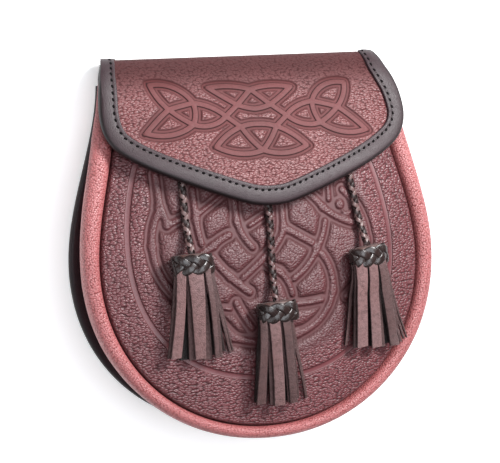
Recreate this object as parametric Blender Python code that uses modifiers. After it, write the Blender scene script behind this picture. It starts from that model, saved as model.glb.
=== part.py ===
"""Day sporran: a leather belt pouch with a bound front flap and three tassels.

The pouch lies on its back. X runs across it, Y runs from its rounded bottom
to the fold of the flap, Z runs from the back panel to the front. The floor is
Z = 0 and the origin is the middle of the outline on that floor. Lengths in the
tables are millimetres and become metres when a mesh is made.
"""
import bpy
import bmesh
import math
import numpy as np
from mathutils import Vector, Matrix

MM = 0.001
GAP = 0.35                 # clearance between two pieces that touch

# ---- outline of the front seam (a U that narrows to the mouth) -------------
SEAM_HALF_WIDTH = 89.1     # at the widest level
WIDEST_Y = -3.0
SEAM_DROP = 86.0           # widest level down to the bottom of the seam
ROUND_POWER = 2.06         # 2 is an ellipse
NARROW_2, NARROW_3 = 0.641, 0.463   # how the sides draw in towards the mouth

# ---- depth ------------------------------------------------------------------
RIM_DEPTH = 35.0           # height of the front seam at Y = 0
RIM_SLOPE = 0.130          # the pouch is thicker at the bottom than at the mouth
RIM_CURVE = 0.0012
DOME = 11.5                # rise of the front panel above its seam
DOME_POWER = 2.2
MOUTH_Y = 82.0             # top edge of the front panel
GUSSET_TOP_Y = 88.0
BACK_TOP_Y = 88.0

# ---- leather thickness --------------------------------------------------------
PANEL_T = 1.8
BACK_T = 2.0
GUSSET_T = 1.5
FLAP_T = 1.8
BINDING_T = 1.1
LOOP_T = 1.15
BACK_Z = 1.5               # underside of the back panel

# ---- gusset section: n is outward from the seam, f is a share of the wall's
#      height and rise is millimetres above that height -----------------------
#                 n      f     rise
GUSSET_WALL = [(-9.0, 0.00, 0.0),
               (-4.3, 0.00, 0.0),
               (-3.75, 0.00, 0.8),
               (-3.5, 0.03, 1.4),
               (0.9, 0.21, 0.0),
               (4.6, 0.44, 0.0),
               (8.0, 0.72, 0.0),
               (9.2, 0.90, 0.0),
               (8.7, 1.00, 0.1),
               (7.0, 1.00, 1.7),
               (4.8, 1.00, 2.3),
               (2.6, 1.00, 1.9),
               (0.9, 1.00, 0.5),
               (0.1, 1.00, -1.8),
               (0.0, 1.00, -5.0)]
#               y      bulge   roll   (bulge scales n outward, roll scales rise)
BULGE_ROWS = [(90.0, 1.02, 0.75),
              (60.0, 1.12, 0.95),
              (30.0, 1.04, 1.0),
              (0.0, 1.0, 1.0),
              (-40.0, 0.92, 1.0),
              (-70.0, 0.78, 1.0),
              (-90.0, 0.70, 1.0)]

# ---- edge of the front panel: inward from the seam, drop below the dome ------
#             inward  drop
PANEL_EDGE = [(3.6, 0.00),
              (2.3, 0.25),
              (1.3, 0.95),
              (0.65, 2.0),
              (GAP, 3.4),
              (GAP, 5.2)]

# ---- flap, outer face, from the sewn tab inside the bag over the fold to the
#      point. droop is how far a side at DROOP_X hangs below the middle ---------
DROOP_X = 83.0
#             y      z     half_width droop
FLAP_ROWS = [(78.0, 3.85, 58.0, 0.0),
             (84.0, 3.85, 58.6, 0.0),
             (88.6, 3.85, 59.5, 0.0),
             (90.6, 3.10, 66.0, 0.0),
             (92.6, 2.30, 73.6, 0.0),
             (95.0, 2.00, 75.3, 0.0),
             (97.2, 2.02, 75.4, 0.0),
             (99.4, 3.05, 75.4, 0.0),
             (101.0, 5.20, 75.5, 0.0),
             (101.4, 7.80, 75.6, 0.0),
             (100.4, 10.8, 76.1, 0.0),
             (98.0, 13.9, 77.3, 0.2),
             (94.2, 17.3, 78.8, 0.5),
             (89.0, 21.1, 80.8, 1.0),
             (83.0, 24.9, 82.4, 1.9),
             (76.5, 28.7, 83.4, 3.0),
             (70.0, 32.0, 83.4, 4.1),
             (64.4, 34.9, 81.9, 5.0),
             (59.0, 37.5, 78.3, 5.7),
             (54.1, 40.0, 71.6, 6.1),
             (49.2, 42.3, 62.4, 6.3),
             (44.2, 44.5, 50.8, 6.4),
             (39.6, 46.1, 39.2, 6.4),
             (35.6, 47.3, 28.3, 6.4),
             (31.8, 48.3, 17.1, 6.4),
             (29.2, 48.9, 8.2, 6.4),
             (28.1, 49.1, 0.0, 6.4)]
BIND_FROM_Y = 94.9         # the flap binding starts behind the fold
#               outward  up      (from the flap's edge, on its outer face)
FLAP_BIND = [(-8.6, 1.50),
             (-4.6, 1.50),
             (-0.6, 1.50),
             (0.8, 1.05),
             (1.55, 0.0),
             (1.55, -1.8),
             (0.8, -2.85),
             (-0.6, -3.30),
             (-4.6, -3.30),
             (-8.6, -3.30)]
#               n      z         (from the seam outline)
BACK_BIND = [(-3.3, 5.0),
             (4.2, 5.0),
             (5.5, 4.4),
             (6.0, 3.2),
             (6.0, 1.8),
             (5.5, 0.6),
             (4.2, 0.0),
             (-3.3, 0.0)]
BACK_EDGE = 4.5            # back panel edge outside the seam outline

# ---- cords, knots and tassels: where each lies on the front panel -------------
CORD_D = 3.2
KNOT_HALF_WIDTH = 11.8
KNOT_HALF_THICK = 6.2
KNOT_LENGTH = 10.6
TASSEL_LENGTH = 46.0
#            name      cord_x0 cord_y0 knot_x  knot_y  foot_x  foot_y foot_half
TASSELS = [("left", -45.4, 49.0, -44.0, -1.6, -41.8, -49.0, 16.0),
           ("centre", 0.6, 38.0, 0.0, -27.8, 3.6, -76.4, 15.0),
           ("right", 47.6, 48.0, 53.6, -3.2, 59.2, -50.6, 18.2)]
#               share   width   thick  of a tassel, from the knot to its foot
TASSEL_ROWS = [(0.00, 0.92, 10.4),
               (0.12, 0.95, 10.8),
               (0.35, 0.97, 10.4),
               (0.65, 0.99, 9.0),
               (1.00, 1.00, 7.2)]

# ---- hidden closure and belt loops ----------------------------------------------
STUD_Y = 43.0
#              radius  height  of the press stud, top to bottom
STUD_ROWS = [(0.0, 4.9), (4.6, 4.9), (5.6, 4.4), (5.6, 3.6), (3.2, 3.3),
             (3.2, 1.8), (5.6, 1.5), (5.6, 0.0), (0.0, 0.0)]
LOOP_X, LOOP_Y0, LOOP_Y1, LOOP_W = 34.0, 8.0, 72.0, 22.0

# ---- colours (linear), roughness, metallic ---------------------------------------
LOOKS = {
    "panel": ((0.150, 0.062, 0.058), 0.55, 0.0),
    "flap": ((0.200, 0.070, 0.062), 0.50, 0.0),
    "gusset": ((0.420, 0.120, 0.100), 0.45, 0.0),
    "dark": ((0.055, 0.042, 0.045), 0.50, 0.0),
    "knot": ((0.035, 0.028, 0.026), 0.35, 0.0),
    "strip": ((0.200, 0.125, 0.105), 0.60, 0.0),
    "metal": ((0.45, 0.36, 0.22), 0.35, 1.0),
}


# =============================== shape rules ======================================
def half_width(y):
    """Half width of the seam outline at level y."""
    t = (y - WIDEST_Y) / 100.0
    if t > 0:
        return SEAM_HALF_WIDTH * (1 - NARROW_2 * t * t + NARROW_3 * t ** 3)
    s = min(1.0, (WIDEST_Y - y) / SEAM_DROP)
    return SEAM_HALF_WIDTH * (1 - s ** ROUND_POWER) ** (1 / ROUND_POWER)


def rim_z(y):
    """Height of the front seam at level y."""
    return RIM_DEPTH - RIM_SLOPE * y - (RIM_CURVE * y * y if y > 0 else 0.0)


def seam_path(count, top):
    """Even points down the left side, round the bottom and up the right."""
    side = [(-half_width(y), y) for y in np.linspace(top, WIDEST_Y, 400)]
    bow = []
    for a in np.linspace(0, math.pi / 2, 400)[1:]:
        bow.append((-SEAM_HALF_WIDTH * abs(math.cos(a)) ** (2 / ROUND_POWER),
                    WIDEST_Y - SEAM_DROP * math.sin(a) ** (2 / ROUND_POWER)))
    half = np.array(side + bow)
    half[-1, 0] = 0.0
    full = np.vstack([half, half[-2::-1] * (-1, 1)])
    run = np.concatenate([[0], np.cumsum(np.hypot(*np.diff(full, axis=0).T))])
    at = np.linspace(0, run[-1], count)
    pts = np.stack([np.interp(at, run, full[:, k]) for k in (0, 1)], 1)
    step = 1.5
    ahead = np.stack([np.interp(at + step, run, full[:, k]) for k in (0, 1)], 1)
    behind = np.stack([np.interp(at - step, run, full[:, k]) for k in (0, 1)], 1)
    tan = ahead - behind
    tan /= np.hypot(*tan.T)[:, None]
    out = np.stack([tan[:, 1], -tan[:, 0]], 1)
    return pts, out


def share_of_panel(x, y):
    """0 at the panel's middle, 1 on its edge, along the line through (x, y)."""
    lo, hi = 0.0, 4.0
    for _ in range(30):
        mid = (lo + hi) / 2
        px, py = x / max(mid, 1e-6), y / max(mid, 1e-6)
        inside = WIDEST_Y - SEAM_DROP < py < MOUTH_Y and abs(px) < half_width(py)
        if inside:
            hi = mid
        else:
            lo = mid
    return (lo + hi) / 2


def panel_z(x, y):
    """Top of the front panel without its turned edge."""
    r = min(1.0, share_of_panel(x, y))
    return rim_z(y) + DOME * (1 - r ** DOME_POWER)


def support_z(x, y):
    """What a tassel rests on: the panel, or the roll of the gusset beside it."""
    r = share_of_panel(x, y)
    if r < 0.93:
        return panel_z(x, y)
    return max(panel_z(x, y), rim_z(y) + 2.3 + 0.25)


def smooth_rows(rows, per_step):
    """Catmull-Rom curve through the rows of a table."""
    r = np.array(rows, float)
    ext = np.vstack([2 * r[0] - r[1], r, 2 * r[-1] - r[-2]])
    out = []
    for i in range(1, len(ext) - 2):
        p0, p1, p2, p3 = ext[i - 1:i + 3]
        for t in np.arange(per_step) / per_step:
            out.append(0.5 * (2 * p1 + (p2 - p0) * t + (2 * p0 - 5 * p1 + 4 * p2 - p3) * t * t
                              + (3 * p1 - p0 - 3 * p2 + p3) * t ** 3))
    out.append(r[-1])
    return np.array(out)


def bulge(y):
    rows = sorted(BULGE_ROWS)
    ys = [r[0] for r in rows]
    return (np.interp(y, ys, [r[1] for r in rows]), np.interp(y, ys, [r[2] for r in rows]))


# =============================== mesh helpers ======================================
def material(name):
    mat = bpy.data.materials.get(name)
    if mat is None:
        mat = bpy.data.materials.new(name)
        mat.use_nodes = True
        colour, rough, metal = LOOKS[name.split("-")[0]]
        node = mat.node_tree.nodes["Principled BSDF"]
        node.inputs["Base Color"].default_value = (*colour, 1.0)
        node.inputs["Roughness"].default_value = rough
        node.inputs["Metallic"].default_value = metal
        mat.diffuse_color = (*colour, 1.0)
    return mat


def finish(obj, look, smooth_angle=40):
    obj.data.materials.append(material(look + "-" + obj.name))
    main.objects.link(obj)
    if obj.type == "MESH" and smooth_angle:
        obj.data.shade_smooth()
        obj.data.set_sharp_from_angle(angle=math.radians(smooth_angle))
    return obj


def mesh_object(name, verts, faces):
    mesh = bpy.data.meshes.new(name)
    mesh.from_pydata([(Vector(v) * MM)[:] for v in verts], [], faces)
    bm = bmesh.new()
    bm.from_mesh(mesh)
    bmesh.ops.remove_doubles(bm, verts=bm.verts, dist=1e-6)
    if all(e.is_manifold for e in bm.edges):
        bmesh.ops.recalc_face_normals(bm, faces=bm.faces)
        if bm.calc_volume(signed=True) < 0:
            bmesh.ops.reverse_faces(bm, faces=bm.faces)
    bm.to_mesh(mesh)
    bm.free()
    return bpy.data.objects.new(name, mesh)


def solidify(obj, thickness):
    """Thicken an open surface on the side away from its normals."""
    mod = obj.modifiers.new("leather", "SOLIDIFY")
    mod.thickness = thickness * MM
    mod.offset = -1.0
    mod.use_even_offset = True
    mod.use_quality_normals = True
    mod.use_rim = True
    return mod


def strip(name, rings, look, thickness):
    """Open surface through equal rings of points, thickened by Solidify."""
    n = len(rings[0])
    verts = [p for ring in rings for p in ring]
    faces = []
    for i in range(len(rings) - 1):
        for j in range(n - 1):
            a, b = i * n + j, i * n + j + 1
            faces.append((a, b, b + n, a + n))
    obj = mesh_object(name, verts, faces)
    solidify(obj, thickness)
    return finish(obj, look)


def loft(name, rings, look, smooth_angle=40):
    """Closed body through equal closed rings of points."""
    n = len(rings[0])
    verts = [p for ring in rings for p in ring]
    faces = [tuple(range(n)), tuple(range(len(verts) - n, len(verts)))[::-1]]
    for i in range(len(rings) - 1):
        for j in range(n):
            a, b = i * n + j, i * n + (j + 1) % n
            faces.append((a, a + n, b + n, b))
    return finish(mesh_object(name, verts, faces), look, smooth_angle)


# =============================== the pieces ========================================
def make_back_panel():
    pts, out = seam_path(50, BACK_TOP_Y)
    rim = pts + out * BACK_EDGE
    rim[0, 1] = rim[-1, 1] = BACK_TOP_Y
    top = BACK_Z + BACK_T
    verts = [(x, y, top) for x, y in rim[::-1]]
    obj = mesh_object("back_panel", verts, [tuple(range(len(verts)))[::-1]])
    if obj.data.polygons[0].normal.z < 0:
        obj.data.flip_normals()
    solidify(obj, BACK_T)
    return finish(obj, "dark", 30)


def make_back_binding():
    pts, out = seam_path(50, BACK_TOP_Y)
    rings = [[(p[0] + o[0] * n, p[1] + o[1] * n, z) for n, z in BACK_BIND]
             for p, o in zip(pts, out)]
    for end in (rings[0], rings[-1]):
        for k, v in enumerate(end):
            end[k] = (v[0], BACK_TOP_Y, v[2])
    return strip("back_binding", rings, "dark", BINDING_T)


def gusset_ring(p, o):
    width, roll = bulge(p[1])
    foot = BACK_Z + BACK_T + GAP
    wall = rim_z(p[1]) - foot
    ring = []
    for n, f, rise in GUSSET_WALL:
        n = n * width if n > 0 else n
        z = foot + f * wall + rise * (roll if f == 1 and rise > 0 else 1.0)
        ring.append((p[0] + o[0] * n, p[1] + o[1] * n, z))
    return ring[::-1]


def make_gusset():
    pts, out = seam_path(50, GUSSET_TOP_Y)
    rings = [gusset_ring(p, o) for p, o in zip(pts, out)]
    return strip("gusset", rings, "gusset", GUSSET_T)


def make_front_panel():
    pts, out = seam_path(48, MOUTH_Y)
    mouth = [(x, MOUTH_Y) for x in np.linspace(pts[-1][0], pts[0][0], 12)[1:-1]]
    edge = list(map(tuple, pts)) + mouth
    outs = list(map(tuple, out)) + [(0.0, 1.0)] * len(mouth)
    outs[0] = (-0.62, 0.78)
    outs[47] = (0.62, 0.78)
    inner = PANEL_EDGE[0][0]
    verts, faces = [(0.0, 0.0, panel_z(0, 0))], []
    shares = [0.22, 0.43, 0.62, 0.78, 0.91, 1.0]
    n = len(edge)
    for share in shares:
        for (x, y), (ox, oy) in zip(edge, outs):
            px, py = (x - ox * inner) * share, (y - oy * inner) * share
            verts.append((px, py, panel_z(px, py)))
    for inward, drop in PANEL_EDGE[1:]:
        for (x, y), (ox, oy) in zip(edge, outs):
            px, py = x - ox * inward, y - oy * inward
            qx, qy = x - ox * inner, y - oy * inner
            verts.append((px, py, panel_z(qx, qy) - drop - 0.12 * (inner - inward)))
    for j in range(n):
        faces.append((0, 1 + j, 1 + (j + 1) % n))
    for i in range(len(shares) + len(PANEL_EDGE) - 2):
        for j in range(n):
            a, b = 1 + i * n + j, 1 + i * n + (j + 1) % n
            faces.append((a, a + n, b + n, b))
    obj = mesh_object("front_panel", verts, faces)
    if obj.data.polygons[0].normal.z < 0:
        obj.data.flip_normals()
    solidify(obj, PANEL_T)
    return finish(obj, "panel")


def flap_edge():
    """Rows of the flap from its sewn tab to its point."""
    return smooth_rows(FLAP_ROWS, 1)


def flap_point(row, x):
    y, z, _, droop = row
    return np.array((x, y, z - droop * (x / DROOP_X) ** 2))


def flap_normal(rows, k, x):
    lo, hi = max(k - 1, 0), min(k + 1, len(rows) - 1)
    along = flap_point(rows[hi], x) - flap_point(rows[lo], x)
    across = flap_point(rows[k], x + 0.5) - flap_point(rows[k], x - 0.5)
    nrm = np.cross(along, across)
    return nrm / np.linalg.norm(nrm)


def flap_front(rows):
    """The rows from the fold down to the point, where y only falls."""
    top = max(range(len(rows)), key=lambda k: rows[k][0])
    return rows[top:][::-1]


def flap_at(rows, x, y):
    """Outer face of the hanging part of the flap above the point (x, y)."""
    front = flap_front(rows)
    z = np.interp(y, front[:, 0], front[:, 1])
    droop = np.interp(y, front[:, 0], front[:, 3])
    return np.array((x, y, z - droop * (x / DROOP_X) ** 2))


def flap_up(rows, x, y):
    e = 1.5
    along = flap_at(rows, x, y - e) - flap_at(rows, x, y + e)
    across = flap_at(rows, x + e, y) - flap_at(rows, x - e, y)
    nrm = np.cross(along, across)
    return nrm / np.linalg.norm(nrm)


def make_flap():
    rows = flap_edge()
    cols = 11
    verts, faces = [], []
    for row in rows[:-1]:
        for u in np.linspace(-1, 1, cols):
            verts.append(tuple(flap_point(row, u * row[2])))
    verts.append(tuple(flap_point(rows[-1], 0.0)))
    for i in range(len(rows) - 2):
        for j in range(cols - 1):
            a = i * cols + j
            faces.append((a, a + cols, a + cols + 1, a + 1))
    last = (len(rows) - 2) * cols
    for j in range(cols - 1):
        faces.append((last + j, len(verts) - 1, last + j + 1))
    obj = mesh_object("flap", verts, faces)
    tip = obj.data.polygons[len(faces) - 1]
    if tip.normal.z < 0:
        obj.data.flip_normals()
    solidify(obj, FLAP_T)
    return finish(obj, "flap", 60)


def make_flap_binding():
    rows = flap_edge()
    start = next(k for k, r in enumerate(rows) if r[0] >= BIND_FROM_Y)
    side = []
    for k in range(start, len(rows)):
        x = rows[k][2]
        side.append((flap_point(rows[k], x), flap_normal(rows, k, x), rows[k]))
    mirror = [(p * (-1, 1, 1), n * (-1, 1, 1), r) for p, n, r in side[:-1]]
    path = mirror + side[::-1]
    rings = []
    for k, (p, nrm, row) in enumerate(path):
        a = path[max(k - 1, 0)][0]
        b = path[min(k + 1, len(path) - 1)][0]
        run = (b - a) / np.linalg.norm(b - a)
        side_out = np.cross(run, nrm)
        side_out /= np.linalg.norm(side_out)
        if np.dot(side_out, p - np.array((0, 75.0, p[2]))) < 0:
            side_out = -side_out
        hanging = row[1] > 17.0
        ring = []
        for o, h in FLAP_BIND:
            q, up = p + side_out * o, nrm
            if o < -1.0 and hanging:
                q, up = flap_at(rows, q[0], q[1]), flap_up(rows, q[0], q[1])
            elif o < -1.0:
                q = flap_point(row, p[0] + o * math.copysign(1.0, p[0]))
            ring.append(tuple(q + up * h))
        rings.append(ring)
    return strip("flap_binding", rings, "dark", BINDING_T)


def surface_frame(x, y, toward):
    """Normal of the panel at a point and a direction that lies in it."""
    e = 2.0
    dx = (panel_z(x + e, y) - panel_z(x - e, y)) / (2 * e)
    dy = (panel_z(x, y + e) - panel_z(x, y - e)) / (2 * e)
    up = Vector((-dx, -dy, 1)).normalized()
    run = Vector((toward[0], toward[1], 0))
    run = (run - up * run.dot(up)).normalized()
    return up, run, run.cross(up).normalized()


def make_cord(name, x0, y0, kx, ky, foot):
    lift = CORD_D / 2 + GAP
    up, run, _ = surface_frame(kx, ky, (foot[0] - kx, foot[1] - ky))
    base = Vector((kx, ky, panel_z(kx, ky))) + up * (KNOT_HALF_THICK + GAP)
    end = base - run * (KNOT_LENGTH / 2 + GAP)
    way = []
    for s in np.linspace(0, 1, 7)[:-1]:
        if s > 0.8:
            continue
        x, y = x0 + (end.x - x0) * s, y0 + (end.y - y0) * s
        way.append((x, y, panel_z(x, y) + lift))
    rise = end - run * 5.0
    way.append((rise.x, rise.y, (rise.z + panel_z(rise.x, rise.y) + lift) / 2 + 0.6))
    near = end - run * 1.4
    way.append(tuple(near))
    pts = np.vstack([smooth_rows(way, 3), [tuple(end)]])
    curve = bpy.data.curves.new(name, "CURVE")
    curve.dimensions = "3D"
    curve.bevel_depth = CORD_D / 2 * MM
    curve.bevel_resolution = 2
    curve.use_fill_caps = True
    spl = curve.splines.new("POLY")
    spl.points.add(len(pts) - 1)
    for sp, p in zip(spl.points, pts):
        sp.co = (*(Vector(p) * MM), 1.0)
        sp.radius = 1.0
    return finish(bpy.data.objects.new(name, curve), "knot")


def make_knot(name, kx, ky, foot):
    """Flat ring of plaited leather round the top of a tassel, as a solid."""
    up, run, side = surface_frame(kx, ky, (foot[0] - kx, foot[1] - ky))
    centre = Vector((kx, ky, panel_z(kx, ky))) + up * (KNOT_HALF_THICK + GAP)
    rings = []
    for s, grow in ((-0.5, 0.86), (-0.40, 0.95), (-0.2, 1.0), (0.2, 1.0), (0.40, 0.95), (0.5, 0.86)):
        ring = []
        for a in np.linspace(0, 2 * math.pi, 24, endpoint=False):
            c, d = math.cos(a), math.sin(a)
            c = math.copysign(abs(c) ** 0.85, c)
            d = math.copysign(abs(d) ** 0.85, d)
            q = centre + run * (s * KNOT_LENGTH) + side * (c * KNOT_HALF_WIDTH * grow) \
                + up * (d * KNOT_HALF_THICK * grow)
            ring.append(tuple(q))
        rings.append(ring)
    return loft(name, rings, "knot")


def make_tassel(name, kx, ky, fx, fy, foot_half):
    """Outer form of the bundle of leather strips, lying on the panel."""
    up, run, side = surface_frame(kx, ky, (fx - kx, fy - ky))
    start = Vector((kx, ky, panel_z(kx, ky))) + up * (KNOT_HALF_THICK + GAP) \
        + run * (KNOT_LENGTH / 2 + GAP)
    length = math.hypot(fx - start.x, fy - start.y)
    along = Vector((fx - start.x, fy - start.y, 0)) / length
    across = Vector((-along.y, along.x, 0))
    if across.dot(side) < 0:
        across = -across
    rings = []
    for share, wide, thick in smooth_rows(TASSEL_ROWS, 2):
        half = wide * (KNOT_HALF_WIDTH + (foot_half - KNOT_HALF_WIDTH) * share)
        laid = min(1.0, share / 0.30) ** 1.5
        ring = []
        for a in np.linspace(0, 2 * math.pi, 16, endpoint=False):
            c, d = math.cos(a), math.sin(a)
            c = math.copysign(abs(c) ** 0.6, c) * half
            d = math.copysign(abs(d) ** 0.7, d) * thick / 2
            held = start + run * (length * share) + side * c + up * d
            x = start.x + along.x * length * share + across.x * c
            y = start.y + along.y * length * share + across.y * c
            low = support_z(x, y) + GAP + 0.1
            rest = Vector((x, y, low + thick / 2 + d))
            point = held.lerp(rest, laid)
            ring.append((point.x, point.y, max(point.z, low)))
        rings.append(ring)
    return loft(name, rings, "strip")


def make_stud():
    """Press stud that holds the flap shut, hidden under its point."""
    mesh = bpy.data.meshes.new("press_stud")
    mesh.from_pydata([(r * MM, 0, h * MM) for r, h in STUD_ROWS], [],
                     [(k, k + 1) for k in range(len(STUD_ROWS) - 1)])
    obj = bpy.data.objects.new("press_stud", mesh)
    mod = obj.modifiers.new("turn", "SCREW")
    mod.steps = mod.render_steps = 24
    mod.use_merge_vertices = True
    mod.merge_threshold = 0.00001
    mod.use_normal_flip = True
    mod.use_smooth_shade = False
    up, _, _ = surface_frame(0.0, STUD_Y, (0, -1))
    obj.location = (Vector((0, STUD_Y, panel_z(0, STUD_Y))) + up * GAP) * MM
    obj.rotation_euler = up.to_track_quat("Z", "Y").to_euler()
    return finish(obj, "metal", 0)


def make_loop(name, x):
    """Belt loop: a plain strap pressed flat against the back."""
    bm = bmesh.new()
    bmesh.ops.create_cube(bm, size=1.0)
    size = Vector((LOOP_W, LOOP_Y1 - LOOP_Y0, LOOP_T)) * MM
    bmesh.ops.scale(bm, vec=size, verts=bm.verts)
    corners = [e for e in bm.edges if abs(e.verts[0].co.z - e.verts[1].co.z) > LOOP_T * MM * 0.5]
    bmesh.ops.bevel(bm, geom=corners, offset=3.0 * MM, segments=4, affect="EDGES", profile=0.5)
    mesh = bpy.data.meshes.new(name)
    bm.to_mesh(mesh)
    bm.free()
    obj = bpy.data.objects.new(name, mesh)
    obj.location = Vector((x, (LOOP_Y0 + LOOP_Y1) / 2, LOOP_T / 2)) * MM
    return finish(obj, "dark", 30)


# =============================== assembly ==========================================
for old in list(bpy.data.objects):
    bpy.data.objects.remove(old, do_unlink=True)

main = bpy.data.collections.new("sporran_pouch")
bpy.context.scene.collection.children.link(main)

made = [make_back_panel(), make_back_binding(), make_gusset(), make_front_panel(),
        make_flap(), make_flap_binding(), make_stud(),
        make_loop("belt_loop_left", -LOOP_X), make_loop("belt_loop_right", LOOP_X)]
for who, cx0, cy0, kx, ky, fx, fy, fh in TASSELS:
    made.append(make_cord("cord_" + who, cx0, cy0, kx, ky, (fx, fy)))
    made.append(make_knot("knot_" + who, kx, ky, (fx, fy)))
    made.append(make_tassel("tassel_" + who, kx, ky, fx, fy, fh))

# The outline reaches further up than down, so everything moves by half of that.
REACH_UP = max(row[0] for row in FLAP_ROWS) + FLAP_BIND[0][1]
REACH_DOWN = SEAM_DROP - WIDEST_Y + GUSSET_WALL[7][0] * BULGE_ROWS[-1][1]
SHIFT_Y = -(REACH_UP - REACH_DOWN) / 2
for obj in made:
    obj.location.y += SHIFT_Y * MM
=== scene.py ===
"""Visual model of the sporran pouch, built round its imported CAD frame.

Tables and shape rules are in millimetres in the part's own directions: X runs
across the pouch, Y from its round bottom to the fold of the flap and Z out of
its front. place() turns them into metres in the row frame.
"""
import math

import bmesh
import bpy
import numpy as np
from mathutils import Matrix, Vector
from mathutils.geometry import delaunay_2d_cdt
from mathutils.kdtree import KDTree


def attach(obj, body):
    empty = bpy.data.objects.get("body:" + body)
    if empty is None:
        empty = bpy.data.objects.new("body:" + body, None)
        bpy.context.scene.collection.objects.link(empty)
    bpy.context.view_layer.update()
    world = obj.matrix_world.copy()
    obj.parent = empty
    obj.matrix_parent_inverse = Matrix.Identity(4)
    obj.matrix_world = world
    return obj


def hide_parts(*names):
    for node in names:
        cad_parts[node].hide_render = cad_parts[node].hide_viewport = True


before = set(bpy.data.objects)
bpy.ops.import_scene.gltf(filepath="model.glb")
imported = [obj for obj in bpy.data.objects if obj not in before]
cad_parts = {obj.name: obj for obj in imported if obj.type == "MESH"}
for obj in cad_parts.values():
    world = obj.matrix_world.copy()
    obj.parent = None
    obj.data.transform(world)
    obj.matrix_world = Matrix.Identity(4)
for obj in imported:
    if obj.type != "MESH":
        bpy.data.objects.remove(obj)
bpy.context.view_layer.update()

MM = 0.001
SHIFT_Y = -3.73            # the part is centred on its outline

# ---- outline and depth of the pouch ------------------------------------------
GAP = 0.35
SEAM_HALF_WIDTH = 89.1
WIDEST_Y = -3.0
SEAM_DROP = 86.0
ROUND_POWER = 2.06
NARROW_2, NARROW_3 = 0.641, 0.463
RIM_DEPTH, RIM_SLOPE, RIM_CURVE = 35.0, 0.130, 0.0012
DOME, DOME_POWER = 11.5, 2.2
MOUTH_Y, GUSSET_TOP_Y, BACK_TOP_Y = 82.0, 88.0, 88.0
BACK_Z, BACK_T = 1.5, 2.0

#                 n      f     rise
GUSSET_WALL = [(-9.0, 0.00, 0.0),
               (-4.3, 0.00, 0.0),
               (-3.75, 0.00, 0.8),
               (-3.5, 0.03, 1.4),
               (0.9, 0.21, 0.0),
               (4.6, 0.44, 0.0),
               (8.0, 0.72, 0.0),
               (9.2, 0.90, 0.0),
               (8.7, 1.00, 0.1),
               (7.0, 1.00, 1.7),
               (4.8, 1.00, 2.3),
               (2.6, 1.00, 1.9),
               (0.9, 1.00, 0.5),
               (0.1, 1.00, -1.8),
               (0.0, 1.00, -5.0)]
#               y      left    right   roll
BULGE_ROWS = [(90.0, 0.90, 1.00, 0.75),
              (80.0, 1.06, 1.04, 0.80),
              (70.0, 1.20, 1.10, 0.90),
              (60.0, 1.26, 1.12, 0.95),
              (30.0, 1.17, 1.04, 1.0),
              (14.0, 1.08, 1.02, 1.0),
              (0.0, 1.0, 1.0, 1.0),
              (-40.0, 0.92, 0.92, 1.0),
              (-70.0, 0.78, 0.78, 1.0),
              (-90.0, 0.70, 0.70, 1.0)]
#             inward  drop
PANEL_EDGE = [(2.7, 0.00),
              (2.2, 0.05),
              (1.75, 0.16),
              (1.35, 0.38),
              (1.0, 0.75),
              (0.72, 1.30),
              (0.52, 2.1),
              (GAP, 3.2),
              (GAP, 5.2)]
DROOP_X = 83.0
#             y      z     half_width droop
FLAP_ROWS = [(78.0, 3.85, 58.0, 0.0),
             (84.0, 3.85, 58.6, 0.0),
             (88.6, 3.85, 59.5, 0.0),
             (90.6, 3.10, 66.0, 0.0),
             (92.6, 2.30, 73.6, 0.0),
             (95.0, 2.00, 75.3, 0.0),
             (97.2, 2.02, 75.4, 0.0),
             (99.4, 3.05, 75.4, 0.0),
             (101.0, 5.20, 75.5, 0.0),
             (101.4, 7.80, 75.6, 0.0),
             (100.4, 10.8, 76.1, 0.0),
             (98.0, 13.9, 77.3, 0.2),
             (94.2, 17.3, 78.8, 0.5),
             (89.0, 21.1, 80.8, 1.0),
             (83.0, 24.9, 82.4, 1.9),
             (76.5, 28.7, 83.4, 3.0),
             (70.0, 32.0, 83.4, 4.1),
             (64.4, 34.9, 81.9, 5.0),
             (59.0, 37.5, 78.3, 5.7),
             (54.1, 40.0, 71.6, 6.1),
             (49.2, 42.3, 62.4, 6.3),
             (44.2, 44.5, 50.8, 6.4),
             (39.6, 46.1, 39.2, 6.4),
             (35.6, 47.3, 28.3, 6.4),
             (31.8, 48.3, 17.1, 6.4),
             (29.2, 48.9, 8.2, 6.4),
             (28.1, 49.1, 0.0, 6.4)]
#             y      to_left
FLAP_LEAN = [(70.0, 0.0),
             (76.5, 0.3),
             (83.0, 0.5),
             (89.0, 1.0),
             (94.2, 1.6),
             (101.4, 1.6)]
BIND_FROM_Y = 94.9
#               outward  up
FLAP_BIND = [(-8.6, 0.75),
             (-8.5, 1.20),
             (-8.1, 1.50),
             (-6.9, 1.55),
             (-6.1, 1.38),
             (-5.3, 1.55),
             (-3.0, 1.66),
             (-1.0, 1.52),
             (0.35, 1.22),
             (1.15, 0.60),
             (1.55, -0.3),
             (1.55, -1.6),
             (1.15, -2.45),
             (0.3, -3.00),
             (-0.8, -3.30),
             (-4.6, -3.30),
             (-8.6, -3.30)]
#               n      z
BACK_BIND = [(-3.3, 5.0),
             (1.0, 5.05),
             (4.2, 5.0),
             (5.2, 4.6),
             (5.8, 3.8),
             (6.0, 2.9),
             (5.95, 1.9),
             (5.6, 0.9),
             (4.9, 0.25),
             (4.0, 0.02),
             (1.2, 0.02),
             (0.3, 0.30),
             (-0.6, 0.02),
             (-2.9, 0.05),
             (-3.3, 0.35)]
BACK_EDGE = 4.5

# ---- cords, knots and tassels -------------------------------------------------
CORD_D = 3.2
KNOT_HALF_WIDTH, KNOT_HALF_THICK, KNOT_LENGTH = 11.8, 6.2, 10.6
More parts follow.
